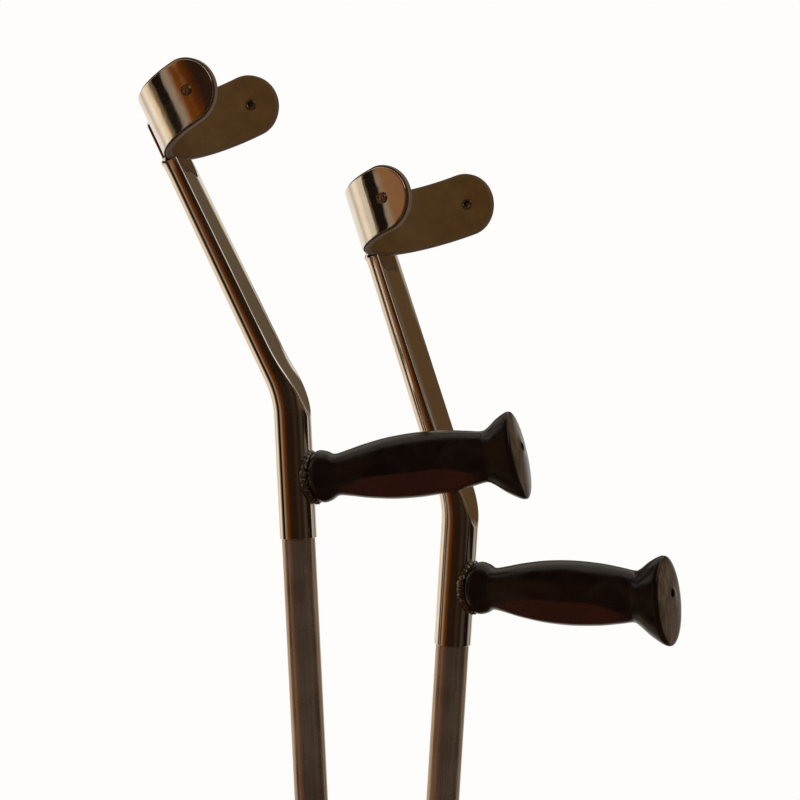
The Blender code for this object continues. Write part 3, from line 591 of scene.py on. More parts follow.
def drawn_skin(sections, rim_distances=()):
    """A skin drawn out from section to section, each a list of as many points.

    It is closed over both end sections, unless distances from its rim are given for the sections.
    """
    shape = bmesh.new()
    rim = shape.verts.layers.float.new("rim_distance") if rim_distances else None
    first = bmesh.ops.create_circle(shape, segments=len(sections[0]), radius=1.0)["verts"]
    ring = first
    for index, section in enumerate(sections):
        if index:
            ring = next_ring(shape, ring)
        for vert, point in zip(ring, section):
            vert.co = point
            if rim:
                vert[rim] = rim_distances[index]
    if not rim:
        bmesh.ops.contextual_create(shape, geom=first)
        bmesh.ops.contextual_create(shape, geom=ring)
    return closed(shape)


def turned(points, steps=TURNED_STEPS, looped=False):
    """A profile of radius and height, spun about Z."""
    shape = bmesh.new()
    verts = [shape.verts.new((radius, 0, height)) for radius, height in points]
    pairs = list(zip(verts, verts[1:]))
    if looped:
        pairs.append((verts[-1], verts[0]))
    edges = [shape.edges.new(pair) for pair in pairs]
    bmesh.ops.spin(
        shape, geom=verts + edges, cent=(0, 0, 0), axis=(0, 0, 1), dvec=(0, 0, 0), angle=2 * math.pi,
        steps=steps, use_merge=True,
    )
    return closed(shape)


def tube_wall(outer, wall, low, high):
    """A straight open tube."""
    inner = outer - wall
    return turned([(outer, high), (outer, low), (inner, low), (inner, high)], looped=True)


def eased_edges(piece, width, degrees):
    """Rounds a piece's edges that are sharper than an angle."""
    bevel = piece.modifiers.new("eased edges", "BEVEL")
    bevel.width = width
    bevel.segments = 2
    bevel.limit_method = "ANGLE"
    bevel.angle_limit = math.radians(degrees)


def mix(first, second, share):
    return first + (second - first) * share


def clamped(value, low=0.0, high=1.0):
    return min(max(value, low), high)


def eased(value):
    """0 before 0, 1 after 1, and a smooth rise between them."""
    value = clamped(value)
    return value * value * (3 - 2 * value)


def soft_min(first, second, rounding):
    """The lower of two values, rounded where they cross."""
    if rounding <= 0:
        return min(first, second)
    share = clamped(0.5 + 0.5 * (second - first) / rounding)
    return mix(second, first, share) - rounding * share * (1 - share)


def spread(low, high, steps):
    """Values from low to high, both included."""
    return [mix(low, high, step / steps) for step in range(steps + 1)]


def tube_centre(along):
    """Place on the upper tube's axis and the direction of its front, from the start of the bend."""
    bent = clamped(along / BEND_RADIUS, 0.0, BEND_ANGLE)
    front = Vector((math.cos(bent), 0, math.sin(bent)))
    up = Vector((-math.sin(bent), 0, math.cos(bent)))
    place = Vector((-BEND_RADIUS, 0, -BEND_TANGENT)) + front * BEND_RADIUS
    return place + up * (along - bent * BEND_RADIUS), front


def arm_to_along(height):
    """Distance along the tube's axis for a height on the arm."""
    return height - BEND_TANGENT + BEND_LENGTH


def tube_ring(along, inset=0.0, narrowing=0.0):
    """One section of the upper tube: round, then a dished D, then the flat plate behind the cuff."""
    into_press = clamped((along - PRESS_START) / (PRESS_LENGTH - PRESS_START))
    pressed = math.sin(math.pi / 2 * into_press)
    flattened = eased((along - arm_to_along(FLATTENED_AT - FLATTENING_LENGTH)) / FLATTENING_LENGTH)
    taper_from = arm_to_along(CUFF_BOTTOM - BACK_TAPER_BELOW)
    tapered = eased((along - taper_from) / (BACK_TAPER_BELOW + BACK_TAPER_ABOVE))
    above = clamped((along - PRESS_LENGTH) / (arm_to_along(FLATTENED_AT) - PRESS_LENGTH))
    depth = mix(PRESSED_DEPTH, PRESSED_DEPTH_ABOVE, above)
    radius = TUBE_RADIUS - inset
    front_limit = mix(mix(TUBE_RADIUS, depth - TUBE_RADIUS, pressed), PLATE_FRONT, flattened) - inset
    back_limit = mix(-TUBE_RADIUS, PLATE_BACK, tapered) + inset
    pressed_width = mix(TUBE_RADIUS, PRESSED_HALF_WIDTH, pressed)
    half_width = mix(pressed_width, PLATE_HALF_WIDTH, tapered) - inset - narrowing
    middle = mix(0.0, (PLATE_FRONT + PLATE_BACK) / 2, tapered)
    rounding = RIM_ROUNDING * pressed * (1 - flattened)
    dish = DISH_DEPTH * pressed * (1 - flattened)
    edge_share = clamped((front_limit - middle) / radius, -1.0, 1.0)
    edge = max(half_width * math.sqrt(1 - edge_share * edge_share), MM)
    place, front = tube_centre(along)
    ring = []
    for index in range(TUBE_RING_POINTS):
        angle = 2 * math.pi * index / TUBE_RING_POINTS
        side = half_width * math.sin(angle)
        forward = middle + radius * math.cos(angle)
        across = min(abs(side) / edge, 1.0)
        sunk = dish * (1 - across ** 3) if math.cos(angle) > 0 else 0.0
        forward = max(soft_min(forward, front_limit, rounding) - sunk, back_limit)
        ring.append(place + front * forward + Vector((0, side, 0)))
    return ring


def upper_tube_shape():
    """The whole upper tube, with an open sleeve end below and a flat plate above."""
    low = SLEEVE_END_Z + BEND_TANGENT
    flat_from = arm_to_along(FLATTENED_AT - FLATTENING_LENGTH)
    flat_to = flat_from + FLATTENING_LENGTH
    taper_end = arm_to_along(CUFF_BOTTOM + BACK_TAPER_ABOVE)
    top = arm_to_along(CUFF_BOTTOM + PLATE_TOP_ABOVE_CUFF)
    places = spread(PRESS_START, PRESS_LENGTH + CLOSE_RINGS_PAST_PRESS, CLOSE_RINGS)
    places += spread(PRESS_LENGTH + WIDE_RINGS_PAST_PRESS, flat_from, WIDE_RINGS)
    places += spread(flat_from, flat_to, FLATTENING_RINGS)[1:]
    places += spread(flat_to, taper_end, TAPER_RINGS)[1:]
    sections = [tube_ring(low + SLEEVE_INSIDE_DEPTH, SLEEVE_WALL), tube_ring(low, SLEEVE_WALL)]
    sections += [tube_ring(low, SLEEVE_EDGE_ROUNDING), tube_ring(low + SLEEVE_EDGE_ROUNDING)]
    sections += [tube_ring(along) for along in places]
    for angle in spread(0, math.pi / 2, CORNER_RINGS):
        narrowing = PLATE_CORNER * (1 - math.cos(angle))
        sections.append(tube_ring(top - PLATE_CORNER * (1 - math.sin(angle)), 0.0, narrowing))
    return drawn_skin(sections)


def strip_direction(reach):
    """The outward direction of the rolled cuff in the arm's frame."""
    rolled = min(abs(reach) / CUFF_RADIUS, math.pi / 2)
    side = 1 if reach >= 0 else -1
    return Vector((-math.cos(rolled), side * math.sin(rolled), 0))


def strip_point(reach, height, radius):
    """A point of the rolled cuff in the arm's frame, from its place on the flat strip."""
    straight = max(abs(reach) - CUFF_RADIUS * math.pi / 2, 0.0)
    return Vector((CUFF_CENTRE_X + straight, 0, height)) + strip_direction(reach) * radius


def strip_ring(end_radius):
    """Points round a flat strip with round ends, as places along and across it, that far from its spine."""
    along = spread(-CUFF_EAR_REACH, CUFF_EAR_REACH, STRIP_COLUMNS)
    turns = spread(-math.pi / 2, math.pi / 2, STRIP_END_STEPS)[1:-1]
    ends = [(CUFF_EAR_REACH + end_radius * math.cos(turn), end_radius * math.sin(turn)) for turn in turns]
    half = [(reach, -end_radius) for reach in along] + ends
    return half + [(-reach, -rise) for reach, rise in half]


def strip_profile(end_radius, wall, rounding):
    """Distance from the spine and depth below the outer face, from face to face round the rim."""
    profile = [(share * (end_radius - rounding), 0.0) for share in spread(0, 1, STRIP_ROWS)[:-1]]
    for turn in spread(0, math.pi / 2, STRIP_EDGE_STEPS):
        profile.append((end_radius - rounding * (1 - math.sin(turn)), rounding * (1 - math.cos(turn))))
    return profile + [(reach, wall - depth) for reach, depth in reversed(profile)]


def rolled_strip(radius, wall, lip, rounding, dimple_depth):
    """A strip with round ends and a rounded rim, rolled to the cuff's C and drawn in at the ear rivets.

    The attribute rim_distance holds how far each point lies inside the strip's outline.
    """
    end_radius = CUFF_END_RADIUS + lip
    sections = []
    distances = []
    for distance, depth in strip_profile(end_radius, wall, rounding):
        section = []
        for reach, rise in strip_ring(distance):
            near = min(math.hypot(reach - side * EAR_RIVET_REACH, rise) for side in (-1, 1))
            drawn_in = dimple_depth * math.exp(-(near / EAR_DIMPLE_RADIUS) ** 2) * depth / wall
            section.append(strip_point(reach - STRIP_SHIFT, CUFF_MIDDLE + rise, radius - depth + drawn_in))
        sections.append(section)
        distances.append(end_radius - distance)
    return drawn_skin(sections, distances)


def rivet_shape(stack):
    """A tubular rivet: a low head with a grooved rim above Z 0 and a rolled eyelet below what it clamps."""
    head = RIVET_HEAD_RADIUS
    low = -stack - RIVET_SEAT
    top = RIVET_SEAT + RIVET_HEAD_HEIGHT
    points = [(0, top)]
    for share in (0.25, 0.45):
        points.append((head * share, top - RIVET_CROWN_FALL * share))
    for turn in spread(-math.pi, math.pi, 8):
        sunk = RIVET_GROOVE_DEPTH * (1 + math.cos(turn)) / 2
        points.append((RIVET_GROOVE_RADIUS + RIVET_GROOVE_HALF_WIDTH * turn / math.pi, top - sunk))
    for turn in spread(0.2, math.pi / 2, 6):
        inward = RIVET_HEAD_ROUNDING * (1 - math.sin(turn))
        points.append((head - inward, top - RIVET_HEAD_ROUNDING * (1 - math.cos(turn))))
    points += [(head, RIVET_SEAT), (head - RIVET_UNDERCUT, RIVET_UNDERSIDE)]
    points += [(RIVET_SHANK_RADIUS, RIVET_UNDERSIDE), (RIVET_SHANK_RADIUS, low)]
    middle = (head + RIVET_BORE_RADIUS) / 2
    half = (head - RIVET_BORE_RADIUS) / 2
    for turn in spread(0, math.pi, 10):
        points.append((middle + half * math.cos(turn), low - RIVET_LIP * math.sin(turn)))
    points += [(RIVET_BORE_RADIUS, RIVET_BORE_END_Z), (0, RIVET_BORE_END_Z)]
    shape = turned(points, RIVET_STEPS)
    # inside_bore marks the bore, which the rivet's material paints near black as painted shade.
    inside = shape.verts.layers.float.new("inside_bore")
    for vert in shape.verts:
        narrow = math.hypot(vert.co.x, vert.co.y) < RIVET_BORE_RADIUS + RIVET_WALL / 4
        vert[inside] = 1.0 if narrow and low < vert.co.z < 0 else 0.0
    return shape


def blind_rivet_shape():
    """The head and mandrel end of a blind rivet, above Z 0."""
    top = RIVET_HEAD_HEIGHT
    step = MANDREL_STEP
    points = [(0, top + step), (MANDREL_RADIUS - step, top + step)]
    points += [(MANDREL_RADIUS, top - 2 * step), (MANDREL_RADIUS + 1.5 * step, top)]
    for share in spread(BLIND_HEAD_CORE, 1.0, 6):
        points.append((BLIND_HEAD_RADIUS * share, top * math.sqrt(1 - BLIND_HEAD_FALL * share ** 4)))
    points += [(BLIND_HEAD_RADIUS, -step), (BLIND_SHANK_RADIUS, -step)]
    points += [(BLIND_SHANK_RADIUS, -BLIND_SHANK_LENGTH), (0, -BLIND_SHANK_LENGTH)]
    return turned(points, BLIND_STEPS)


def curve_between(values, position):
    """A smooth value through a list of values, at a fractional position along it."""
    index = min(int(position), len(values) - 2)
    share = position - index
    before = values[max(index - 1, 0)]
    first = values[index]
    second = values[index + 1]
    after = values[min(index + 2, len(values) - 1)]
    low_slope = (second - before) / 2
    high_slope = (after - first) / 2
    cubed = share ** 3
    squared = share ** 2
    return (
        (2 * cubed - 3 * squared + 1) * first + (cubed - 2 * squared + share) * low_slope
        + (3 * squared - 2 * cubed) * second + (cubed - squared) * high_slope
    )


def grip_section(along, half_height, half_width, faceted):
    """One ring of the handgrip about its axis: an oval with two flat faces low on its sides."""
    flare_length = GRIP_STATIONS[-1][0] * MM - GRIP_FLARE_START
    flared = max(0.0, along - GRIP_FLARE_START) / flare_length
    lean = math.tan(GRIP_END_LEAN) * flared
    drop = GRIP_FLARE_DROP * flared
    crease = GRIP_CREASE_HEIGHT + GRIP_CREASE_DROP * (1 - faceted)
    ring = []
    for index in range(GRIP_SIDES):
        angle = 2 * math.pi * index / GRIP_SIDES
        side = half_width * math.cos(angle)
        up = half_height * math.sin(angle)
        fall = (-up / half_height - crease) / (1 - crease)
        if fall > 0 and faceted > 0:
            limit = half_width * mix(GRIP_FLAT_TOP_WIDTH, GRIP_FLAT_LOW_WIDTH, fall)
            side = mix(side, clamped(side, -limit, limit), faceted)
        ring.append(Vector((along - lean * up, side, up - drop)))
    return ring


def grip_shape():
    """The handgrip's skin, from its collar over the belly to the domed end and the hole in it.

    The attributes lower_facet and end_face mark the flat faces below and the end.
    """
    sections = []
    columns = list(zip(*GRIP_STATIONS))
    for step in range((len(GRIP_STATIONS) - 1) * GRIP_SUBSTEPS + 1):
        along, high, wide, faceted = (curve_between(column, step / GRIP_SUBSTEPS) for column in columns)
        sections.append(grip_section(along * MM, high * MM, wide * MM, clamped(faceted)))
    end = GRIP_STATIONS[-1][0] * MM
    hole = GRIP_HOLE_RADIUS
    raised = Vector((0, 0, GRIP_HOLE_RISE))
    for along, radius in (
        (end + GRIP_HOLE_LIP_RISE, hole + GRIP_HOLE_LIP_WIDTH),
        (end - GRIP_HOLE_LIP_DEPTH, hole),
        (end - GRIP_HOLE_DEPTH, hole),
    ):
        sections.append([point + raised for point in grip_section(along, radius, radius, 0.0)])
    shape = drawn_skin(sections)
    facet = shape.verts.layers.float.new("lower_facet")
    face = shape.verts.layers.float.new("end_face")
    shape.normal_update()
    for vert in shape.verts:
        along = vert.co.x
        # lower_facet marks the flat faces below, which the grip's material paints redder as a painted reflection
        # of warm light.
        down = eased((-vert.normal.z - GRIP_FACET_SLOPE) / GRIP_FACET_SLOPE_FADE)
        started = eased((along - GRIP_FACET_FROM) / GRIP_FACET_FADE)
        vert[facet] = down * started * eased((GRIP_FACET_TO - along) / GRIP_FACET_FADE)
        outward = eased((vert.normal.x - GRIP_FACE_SLOPE) / GRIP_FACE_SLOPE_FADE)
        vert[face] = outward * eased((along - GRIP_FACE_FROM) / GRIP_FACE_FADE)
    return shape


def weld_shape():
    """The weld bead that fills the corner between tube and handgrip, in overlapping ripples."""
    shape = bmesh.new()
    spin_radius = 4 * WELD_SIDE_RADIUS
    upright = Matrix.Translation((0, 0, spin_radius)) @ Matrix.Rotation(math.pi / 2, 4, "X")
    ring = bmesh.ops.create_circle(
        shape, segments=WELD_SIDES, radius=WELD_SIDE_RADIUS, matrix=upright,
    )["verts"]
    bmesh.ops.spin(
        shape, geom=ring + shape.edges[:], cent=(0, 0, 0), axis=(1, 0, 0), dvec=(0, 0, 0),
        angle=2 * math.pi, steps=WELD_STEPS_PER_RIPPLE * WELD_RIPPLES, use_merge=True,
    )
    seat = GRIP_STATIONS[0][0] * MM
    for vert in shape.verts:
        turn = math.atan2(vert.co.y, vert.co.z)
        spun = Vector((0, spin_radius * math.sin(turn), spin_radius * math.cos(turn)))
        outward = (vert.co - spun).normalized()
        core = Vector((0, WELD_HALF_WIDTH * math.sin(turn), WELD_HALF_HEIGHT * math.cos(turn)))
        core.x = mix(math.sqrt(TUBE_RADIUS ** 2 - core.y ** 2), seat, WELD_SEAT_SHARE)
        phase = (turn * WELD_RIPPLES / (2 * math.pi) + WELD_RIPPLE_LAG * outward.x) % 1.0
        ripple = math.sqrt(max(1 - (2 * phase - 1) ** 2, 0.0)) - WELD_RIPPLE_SUNK
        rough = noise.noise(core / WELD_LUMP_SIZE + outward * WELD_LUMPS_AROUND)
        radius = mix(WELD_TOP_RADIUS, WELD_SIDE_RADIUS, math.sin(turn) ** 2)
        vert.co = core + outward * (radius + WELD_RIPPLE_HEIGHT * ripple + WELD_ROUGHNESS * rough)
    return closed(shape)


def drilled(piece, places, radius, depth):
    """Cuts round holes into a piece, each about its place's Z and that deep to both sides of it."""
    tool = bmesh.new()
    for place in places:
        bmesh.ops.create_cone(
            tool, cap_ends=True, segments=HOLE_SIDES, radius1=radius, radius2=radius, depth=2 * depth,
            matrix=place,
        )
    drill = placed("drill", tool, Matrix())
    step = piece.modifiers.new("holes", "BOOLEAN")
    step.operation = "DIFFERENCE"
    step.solver = "EXACT"
    step.object = drill
    bpy.context.view_layer.update()
    graph = bpy.context.evaluated_depsgraph_get()
    cut = bpy.data.meshes.new_from_object(piece.evaluated_get(graph))
    piece.modifiers.clear()
    piece.data = cut
    bpy.data.objects.remove(drill)
    cut.set_sharp_from_angle(angle=math.radians(SMOOTH_DEGREES))


def button_holes(place, heights, tube_radius):
    """Places of round holes in the back of a tube, at the given heights on its axis."""
    facing_back = Matrix.Rotation(math.pi / 2, 4, "Y")
    return [place @ Matrix.Translation((-tube_radius, 0, height)) @ facing_back for height in heights]


def collar_points():
    """Plastic guide ring over the leg tube's lower end, with finger grooves and a lip under the tube."""
    bore = LEG_RADIUS + COLLAR_GAP
    guide = EXTENSION_RADIUS + COLLAR_GAP
    outer = bore + COLLAR_WALL
    top = LEG_END_Z + COLLAR_HEIGHT
    shelf = LEG_END_Z - COLLAR_GAP
    low = shelf - COLLAR_LIP
    corner = COLLAR_CORNER
    cut = COLLAR_CORNER_CUT
    points = [(bore, top), (outer - corner, top), (outer - cut, top - cut), (outer, top - corner)]
    for groove in range(COLLAR_GROOVES):
        middle = top - COLLAR_FIRST_GROOVE - groove * COLLAR_GROOVE_PITCH
        points.append((outer, middle + COLLAR_GROOVE_HALF_WIDTH))
        points.append((outer - COLLAR_GROOVE_DEPTH, middle))
        points.append((outer, middle - COLLAR_GROOVE_HALF_WIDTH))
    points += [(outer, low + corner), (outer - cut, low + cut), (outer - corner, low)]
    return points + [(guide, low), (guide, shelf), (bore, shelf)]


def ferrule_points():
    """Rubber foot: a socket for the tube, three ribs, a bell and a treaded base."""
    socket = EXTENSION_RADIUS + COLLAR_GAP
    neck = socket + FERRULE_WALL
    base = FERRULE_BASE_RADIUS
    top = FERRULE_HEIGHT
    corner = FERRULE_CORNER
    cut = FERRULE_CORNER_CUT
    points = [(0, FERRULE_FLOOR), (socket, FERRULE_FLOOR), (socket, top - corner), (socket + cut, top - cut)]
    points += [(socket + corner, top), (neck - corner, top), (neck - cut, top - cut), (neck, top - corner)]
    for rib in range(FERRULE_RIBS):
        start = top - FERRULE_FIRST_RIB - rib * FERRULE_RIB_PITCH
        for turn in spread(0, math.pi, 8):
            below = FERRULE_RIB_HALF_HEIGHT * (1 - math.cos(turn))
            points.append((neck + FERRULE_RIB * math.sin(turn), start - below))
    for share in spread(0, 1, 14):
        width = mix(neck + FERRULE_BELL_STEP, base, share ** FERRULE_BELL_FLARE)
        points.append((width, mix(FERRULE_BELL_TOP, FERRULE_BELL_LOW, share ** FERRULE_BELL_FALL)))
    points += [(base, corner), (base - cut, cut), (base - corner, 0)]
    for outer, inner in FERRULE_TREADS:
        points += [(base * outer, 0), (base * outer, TREAD_DEPTH)]
        points += [(base * inner, TREAD_DEPTH), (base * inner, 0)]
    return points + [(0, 0)]


def dress_arm(key, crutch, finishes):
    """Upper tube, cuff, lining and their rivets."""
    arm = crutch @ Matrix.Rotation(-BEND_ANGLE, 4, "Y")
    body = f"crutch_{key}"
    finished(
        f"polished_tube_{key}", upper_tube_shape(), crutch, finishes["tube"], body,
        f"upper_tube_{key}", 35,
    )
    sheet = rolled_strip(CUFF_RADIUS, CUFF_WALL, 0.0, CUFF_EDGE_ROUNDING, 0.0)
    finished(f"polished_cuff_{key}", sheet, arm, finishes["cuff"], body, f"forearm_cuff_{key}")
    lining_radius = CUFF_RADIUS - CUFF_WALL - LINING_GAP
    leather = rolled_strip(lining_radius, LINING_WALL, LINING_LIP, LINING_EDGE_ROUNDING, EAR_DIMPLE_DEPTH)
    lining = finished(
        f"leather_lining_{key}", leather, arm, finishes["leather"], body, f"cuff_lining_{key}",
    )
    eyelets = []
    for name, side in (("near", -1), ("far", 1)):
        reach = side * EAR_RIVET_REACH - STRIP_SHIFT
        facing = strip_direction(reach).to_track_quat("Z", "Y").to_matrix().to_4x4()
        place = arm @ Matrix.Translation(strip_point(reach, CUFF_MIDDLE, CUFF_RADIUS)) @ facing
        finished(
            f"ear_eyelet_{name}_{key}", rivet_shape(CUFF_STACK - EAR_DIMPLE_DEPTH), place, finishes["rivet"],
            body, f"ear_rivet_{name}_{key}",
        )
        eyelets.append(place @ Matrix.Translation((0, 0, -CUFF_STACK)))
    drilled(lining, eyelets, RIVET_SHANK_RADIUS, EYELET_HOLE_DEPTH)
    back = Vector((-1, 0, 0)).to_track_quat("Z", "Y").to_matrix().to_4x4()
    under_lining = CUFF_STACK + CUFF_BACK_X - PLATE_BACK - PLATE_RIVET_SUNK
    for name, rise in (("low", 0.0), ("top", CUFF_RIVET_SPACING)):
        height = CUFF_BOTTOM + CUFF_RIVET_LOW + rise
        place = arm @ Matrix.Translation((PLATE_BACK, 0, height)) @ back
        finished(
            f"plate_rivet_{name}_{key}", rivet_shape(under_lining), place, finishes["rivet"], body,
            f"cuff_rivet_{name}_{key}",
        )


def dress_grip(key, crutch, finishes):
    """Handgrip and the weld that carries it."""
    body = f"crutch_{key}"
    axis = crutch @ Matrix.Translation((0, 0, GRIP_AXIS_Z)) @ Matrix.Rotation(-GRIP_TILT, 4, "Y")
    finished(
        f"moulded_grip_{key}", grip_shape(), axis, finishes["grip"], body,
        f"handgrip_{key}", 50,
    )
    finished(
        f"weld_bead_{key}", weld_shape(), axis, finishes["weld"], body, f"grip_stub_{key}", 70,
    )


def dress_leg(key, crutch, finishes):
    """Leg tube with its holes, the rivet that holds it, and the collar on its end."""
    body = f"crutch_{key}"
    leg = finished(
        f"drawn_leg_{key}", tube_wall(LEG_RADIUS, LEG_WALL, LEG_END_Z, LEG_TOP_Z), crutch, finishes["leg"],
        body, f"leg_tube_{key}",
    )
    heights = [LOWEST_BUTTON_Z + index * HOLE_PITCH for index in range(HOLE_COUNT)]
    drilled(leg, button_holes(crutch, heights, LEG_RADIUS), BUTTON_HOLE_RADIUS, LEG_RADIUS / 2)
    collar = finished(
        f"guide_collar_{key}", turned(collar_points(), looped=True), crutch, finishes["collar"], body,
        f"end_collar_{key}",
    )
    eased_edges(collar, COLLAR_EASE, 30)
    facing_side = Matrix.Rotation(-math.pi / 2, 4, "X")
    place = crutch @ Matrix.Translation((0, TUBE_RADIUS, SLEEVE_RIVET_Z)) @ facing_side
    finished(
        f"side_rivet_{key}", blind_rivet_shape(), place, finishes["extension"], body,
        f"sleeve_rivet_{key}",
    )


def dress_extension(key, crutch, finishes):
    """The sliding tube, its ferrule and the small steel parts."""
    slider = f"extension_{key}"
    button_z = LOWEST_BUTTON_Z + joint(f"leg_length_{key}")["range_m"][1]
    slide = crutch @ Matrix.Translation((0, 0, button_z))
    tube = tube_wall(EXTENSION_RADIUS, EXTENSION_WALL, EXTENSION_LOW, EXTENSION_ABOVE_BUTTON)
    extension = finished(
        f"drawn_extension_{key}", tube, slide, finishes["extension"], slider,
        f"extension_tube_{key}",
    )
    hole = button_holes(slide, [0.0], EXTENSION_RADIUS)
    drilled(extension, hole, BUTTON_HOLE_RADIUS, EXTENSION_RADIUS / 2)
    foot = slide @ Matrix.Translation((0, 0, -BUTTON_TO_FOOT))
    ferrule = finished(
        f"rubber_foot_{key}", turned(ferrule_points()), foot, finishes["rubber"], slider,
        f"ferrule_{key}", 50,
    )
    eased_edges(ferrule, FERRULE_EASE, 40)
    for node in (f"snap_button_{key}", f"button_spring_{key}", f"ferrule_washer_{key}"):
        frame["nodes"][node].data.materials.clear()
        frame["nodes"][node].data.materials.append(finishes["steel"])


def dress_crutch(key):
    """Every visible piece of one crutch."""
    crutch = crutch_place(key)
    finishes = {
        "tube": chrome_plate(f"chromed_steel_tube_{key}", crutch, 30 * MM, 0.10, 2.4 * MM, 0.05 * MM, True),
        "cuff": chrome_plate(f"chromed_steel_sheet_{key}", crutch, 14 * MM, 0.45, 9.0 * MM, 0.12 * MM, False),
        "rivet": rivet_metal(f"tarnished_plated_rivet_{key}", crutch),
        "weld": weld_metal(f"weld_under_chrome_{key}", crutch),
        "leg": drawn_metal(f"bronze_anodised_aluminium_{key}", crutch, "#c8b19b", "#9e8670", 0.93, 0.25),
        "extension": drawn_metal(f"satin_aluminium_{key}", crutch, "#b3aea8", "#8f8a85", 1.0, 0.28),
        "steel": drawn_metal(f"spring_steel_{key}", crutch, "#a9a7a6", "#7d7b7a", 1.0, 0.26),
        "grip": moulded_plastic(f"moulded_grip_plastic_{key}", crutch, "#150a05", "#0b0503", 0.21, 0.08),
        "collar": moulded_plastic(f"moulded_collar_plastic_{key}", crutch, "#2b2624", "#1d1a18", 0.48, 0.25),
        "leather": lining_leather(f"lining_leather_{key}", crutch),
        "rubber": moulded_rubber(f"ferrule_rubber_{key}", crutch),
    }
    dress_arm(key, crutch, finishes)
    dress_grip(key, crutch, finishes)
    dress_leg(key, crutch, finishes)
    dress_extension(key, crutch, finishes)


def photo_camera():
    """The camera that took the photograph, placed so that crutch a's bend shows where it does there."""
    data = bpy.data.cameras.new("photo_camera")
    data.sensor_width = SENSOR_WIDTH_MM
    data.lens = PHOTO_FOCAL_PIXELS / PHOTO_SIZE * SENSOR_WIDTH_MM
    data.clip_start = 0.05
    data.clip_end = 20.0
    camera = bpy.data.objects.new("photo_camera", data)
    camera.rotation_euler = (math.pi / 2 - PHOTO_PITCH, 0, 0)
    half = PHOTO_SIZE / 2
    across = (BEND_MARK_PIXEL[0] - half) / PHOTO_FOCAL_PIXELS * BEND_MARK_DEPTH
    down = (BEND_MARK_PIXEL[1] - half) / PHOTO_FOCAL_PIXELS * BEND_MARK_DEPTH
    seen = camera.rotation_euler.to_matrix() @ Vector((across, -down, -BEND_MARK_DEPTH))
    camera.location = crutch_place("a") @ Vector((0, 0, BEND_MARK_ABOVE)) - seen
    bpy.context.scene.collection.objects.link(camera)
    bpy.context.scene.camera = camera


def studio_floor():
    """A pale round floor that fades to the white of the background towards its edge."""
    shape = bmesh.new()
    bmesh.ops.create_circle(shape, cap_ends=True, segments=128, radius=FLOOR_RADIUS)
    material = bpy.data.materials.new("pale_floor_paint")
    material.use_nodes = True
    tree = material.node_tree
    shader = tree.nodes["Principled BSDF"]
    feed(tree, shader, {"Base Color": linear("#e9e6e1"), "Roughness": 0.9, "Specular IOR Level": 0.0})
    place = add(tree, "ShaderNodeTexCoord")
    distance = add(tree, "ShaderNodeVectorMath", {0: place.outputs["Object"]}, operation="LENGTH")
    far = add(
        tree, "ShaderNodeMapRange",
        {"Value": distance, "From Min": FLOOR_FADE_FROM, "From Max": FLOOR_FADE_TO},
        interpolation_type="SMOOTHSTEP",
    )
    ray = add(tree, "ShaderNodeLightPath")
    share = add(tree, "ShaderNodeMath", {0: far, 1: ray.outputs["Is Camera Ray"]}, operation="MULTIPLY")
    white = add(tree, "ShaderNodeEmission", {"Color": linear("#fdfcfa"), "Strength": 1.0})
    faded = add(tree, "ShaderNodeMixShader", {0: share, 1: shader, 2: white})
    feed(tree, tree.nodes["Material Output"], {"Surface": faded})
    floor = placed("studio_floor", shape, Matrix())
    floor.data.materials.append(material)
    floor.visible_glossy = False


def room_panel(tree, parts, under, over, limits):
    """Lays a colour, or another picture, over a picture of the room wherever all of its limits are passed."""
    shown = 1.0
    for axis, none_at, whole_at in limits:
        passed = add(
            tree, "ShaderNodeMapRange",
            {"Value": parts.outputs[axis], "From Min": none_at, "From Max": whole_at},
            interpolation_type="SMOOTHSTEP",
        )
        shown = add(tree, "ShaderNodeMath", {0: shown, 1: passed}, operation="MULTIPLY")
    return add(tree, "ShaderNodeMix", {"Factor": shown, "A": under, "B": over}, data_type="RGBA")


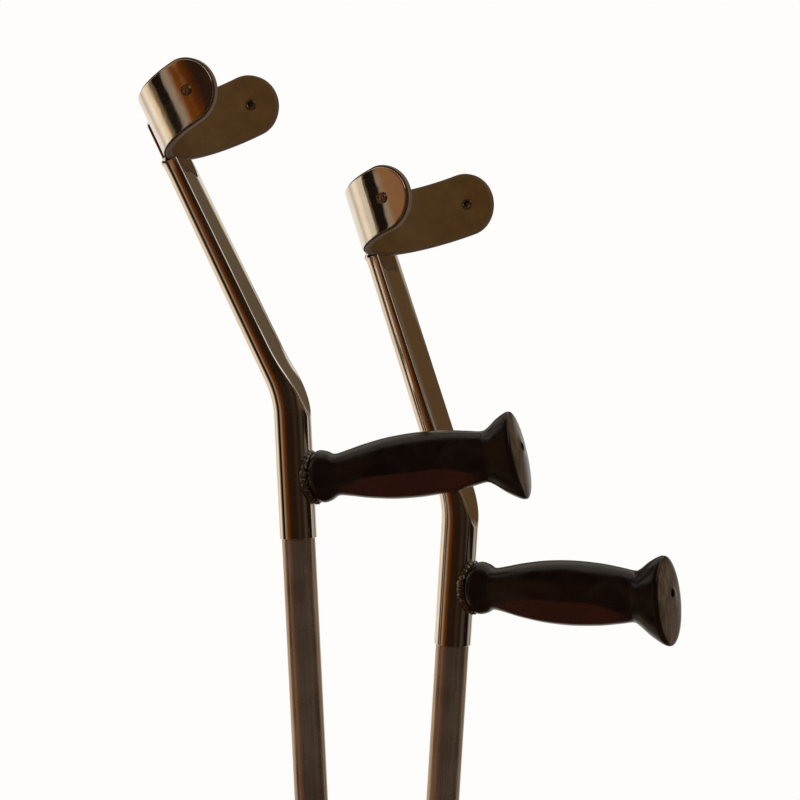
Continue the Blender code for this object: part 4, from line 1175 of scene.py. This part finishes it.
def mirrored_room(tree):
    """What lies round the crutches, for the metal to mirror: walls, flat panels and a ceiling."""
    direction = add(tree, "ShaderNodeTexCoord")
    parts = add(tree, "ShaderNodeSeparateXYZ", {"Vector": direction.outputs["Generated"]})
    left = add(tree, "ShaderNodeMath", {0: parts.outputs["X"], 1: -1.0}, operation="MULTIPLY")
    near = add(tree, "ShaderNodeMath", {0: parts.outputs["Y"], 1: -1.0}, operation="MULTIPLY")
    angle = add(tree, "ShaderNodeMath", {0: left, 1: near}, operation="ARCTAN2")
    around = add(tree, "ShaderNodeMapRange", {"Value": angle, "From Min": -math.pi, "From Max": math.pi})
    stops = [((degrees + 180) / 360, colour) for degrees, colour in MIRRORED_ROOM]
    room = add(tree, "ShaderNodeValToRGB", {"Fac": around}, stops)
    for colour, limits in ROOM_PANELS:
        room = room_panel(tree, parts, room, linear(colour), limits)
    ceiling = room_panel(tree, parts, linear("#21170f"), linear("#e6dccd"), (("Y", -0.04, 0.10),))
    ceiling = room_panel(tree, parts, ceiling, linear("#efe6d8"), (("X", 0.20, 0.45),))
    return room_panel(tree, parts, room, ceiling, (("Z", 0.44, 0.52),))


def studio_light():
    """Soft even light from all round, with a room for the metal to mirror and white behind everything."""
    world = bpy.data.worlds.new("studio")
    world.use_nodes = True
    tree = world.node_tree
    ray = add(tree, "ShaderNodeLightPath")
    shiny = add(
        tree, "ShaderNodeMix",
        {"Factor": ray.outputs["Is Glossy Ray"], "A": linear("#d8d5d2"), "B": mirrored_room(tree)},
        data_type="RGBA",
    )
    seen = add(
        tree, "ShaderNodeMix", {"Factor": ray.outputs["Is Camera Ray"], "A": shiny, "B": linear("#fefdfb")},
        data_type="RGBA",
    )
    feed(tree, tree.nodes["Background"], {"Color": seen})
    bpy.context.scene.world = world
    for name, place, size, power in LAMPS:
        data = bpy.data.lights.new(name, "AREA")
        data.size = size
        data.energy = power
        lamp = bpy.data.objects.new(name, data)
        lamp.location = place
        lamp.rotation_euler = (Vector(place) - LAMP_AIM).to_track_quat("Z", "Y").to_euler()
        lamp.visible_glossy = False
        bpy.context.scene.collection.objects.link(lamp)


photo_camera()
for crutch_key in ("a", "b"):
    dress_crutch(crutch_key)
studio_floor()
studio_light()
bpy.context.scene.view_settings.view_transform = "Standard"
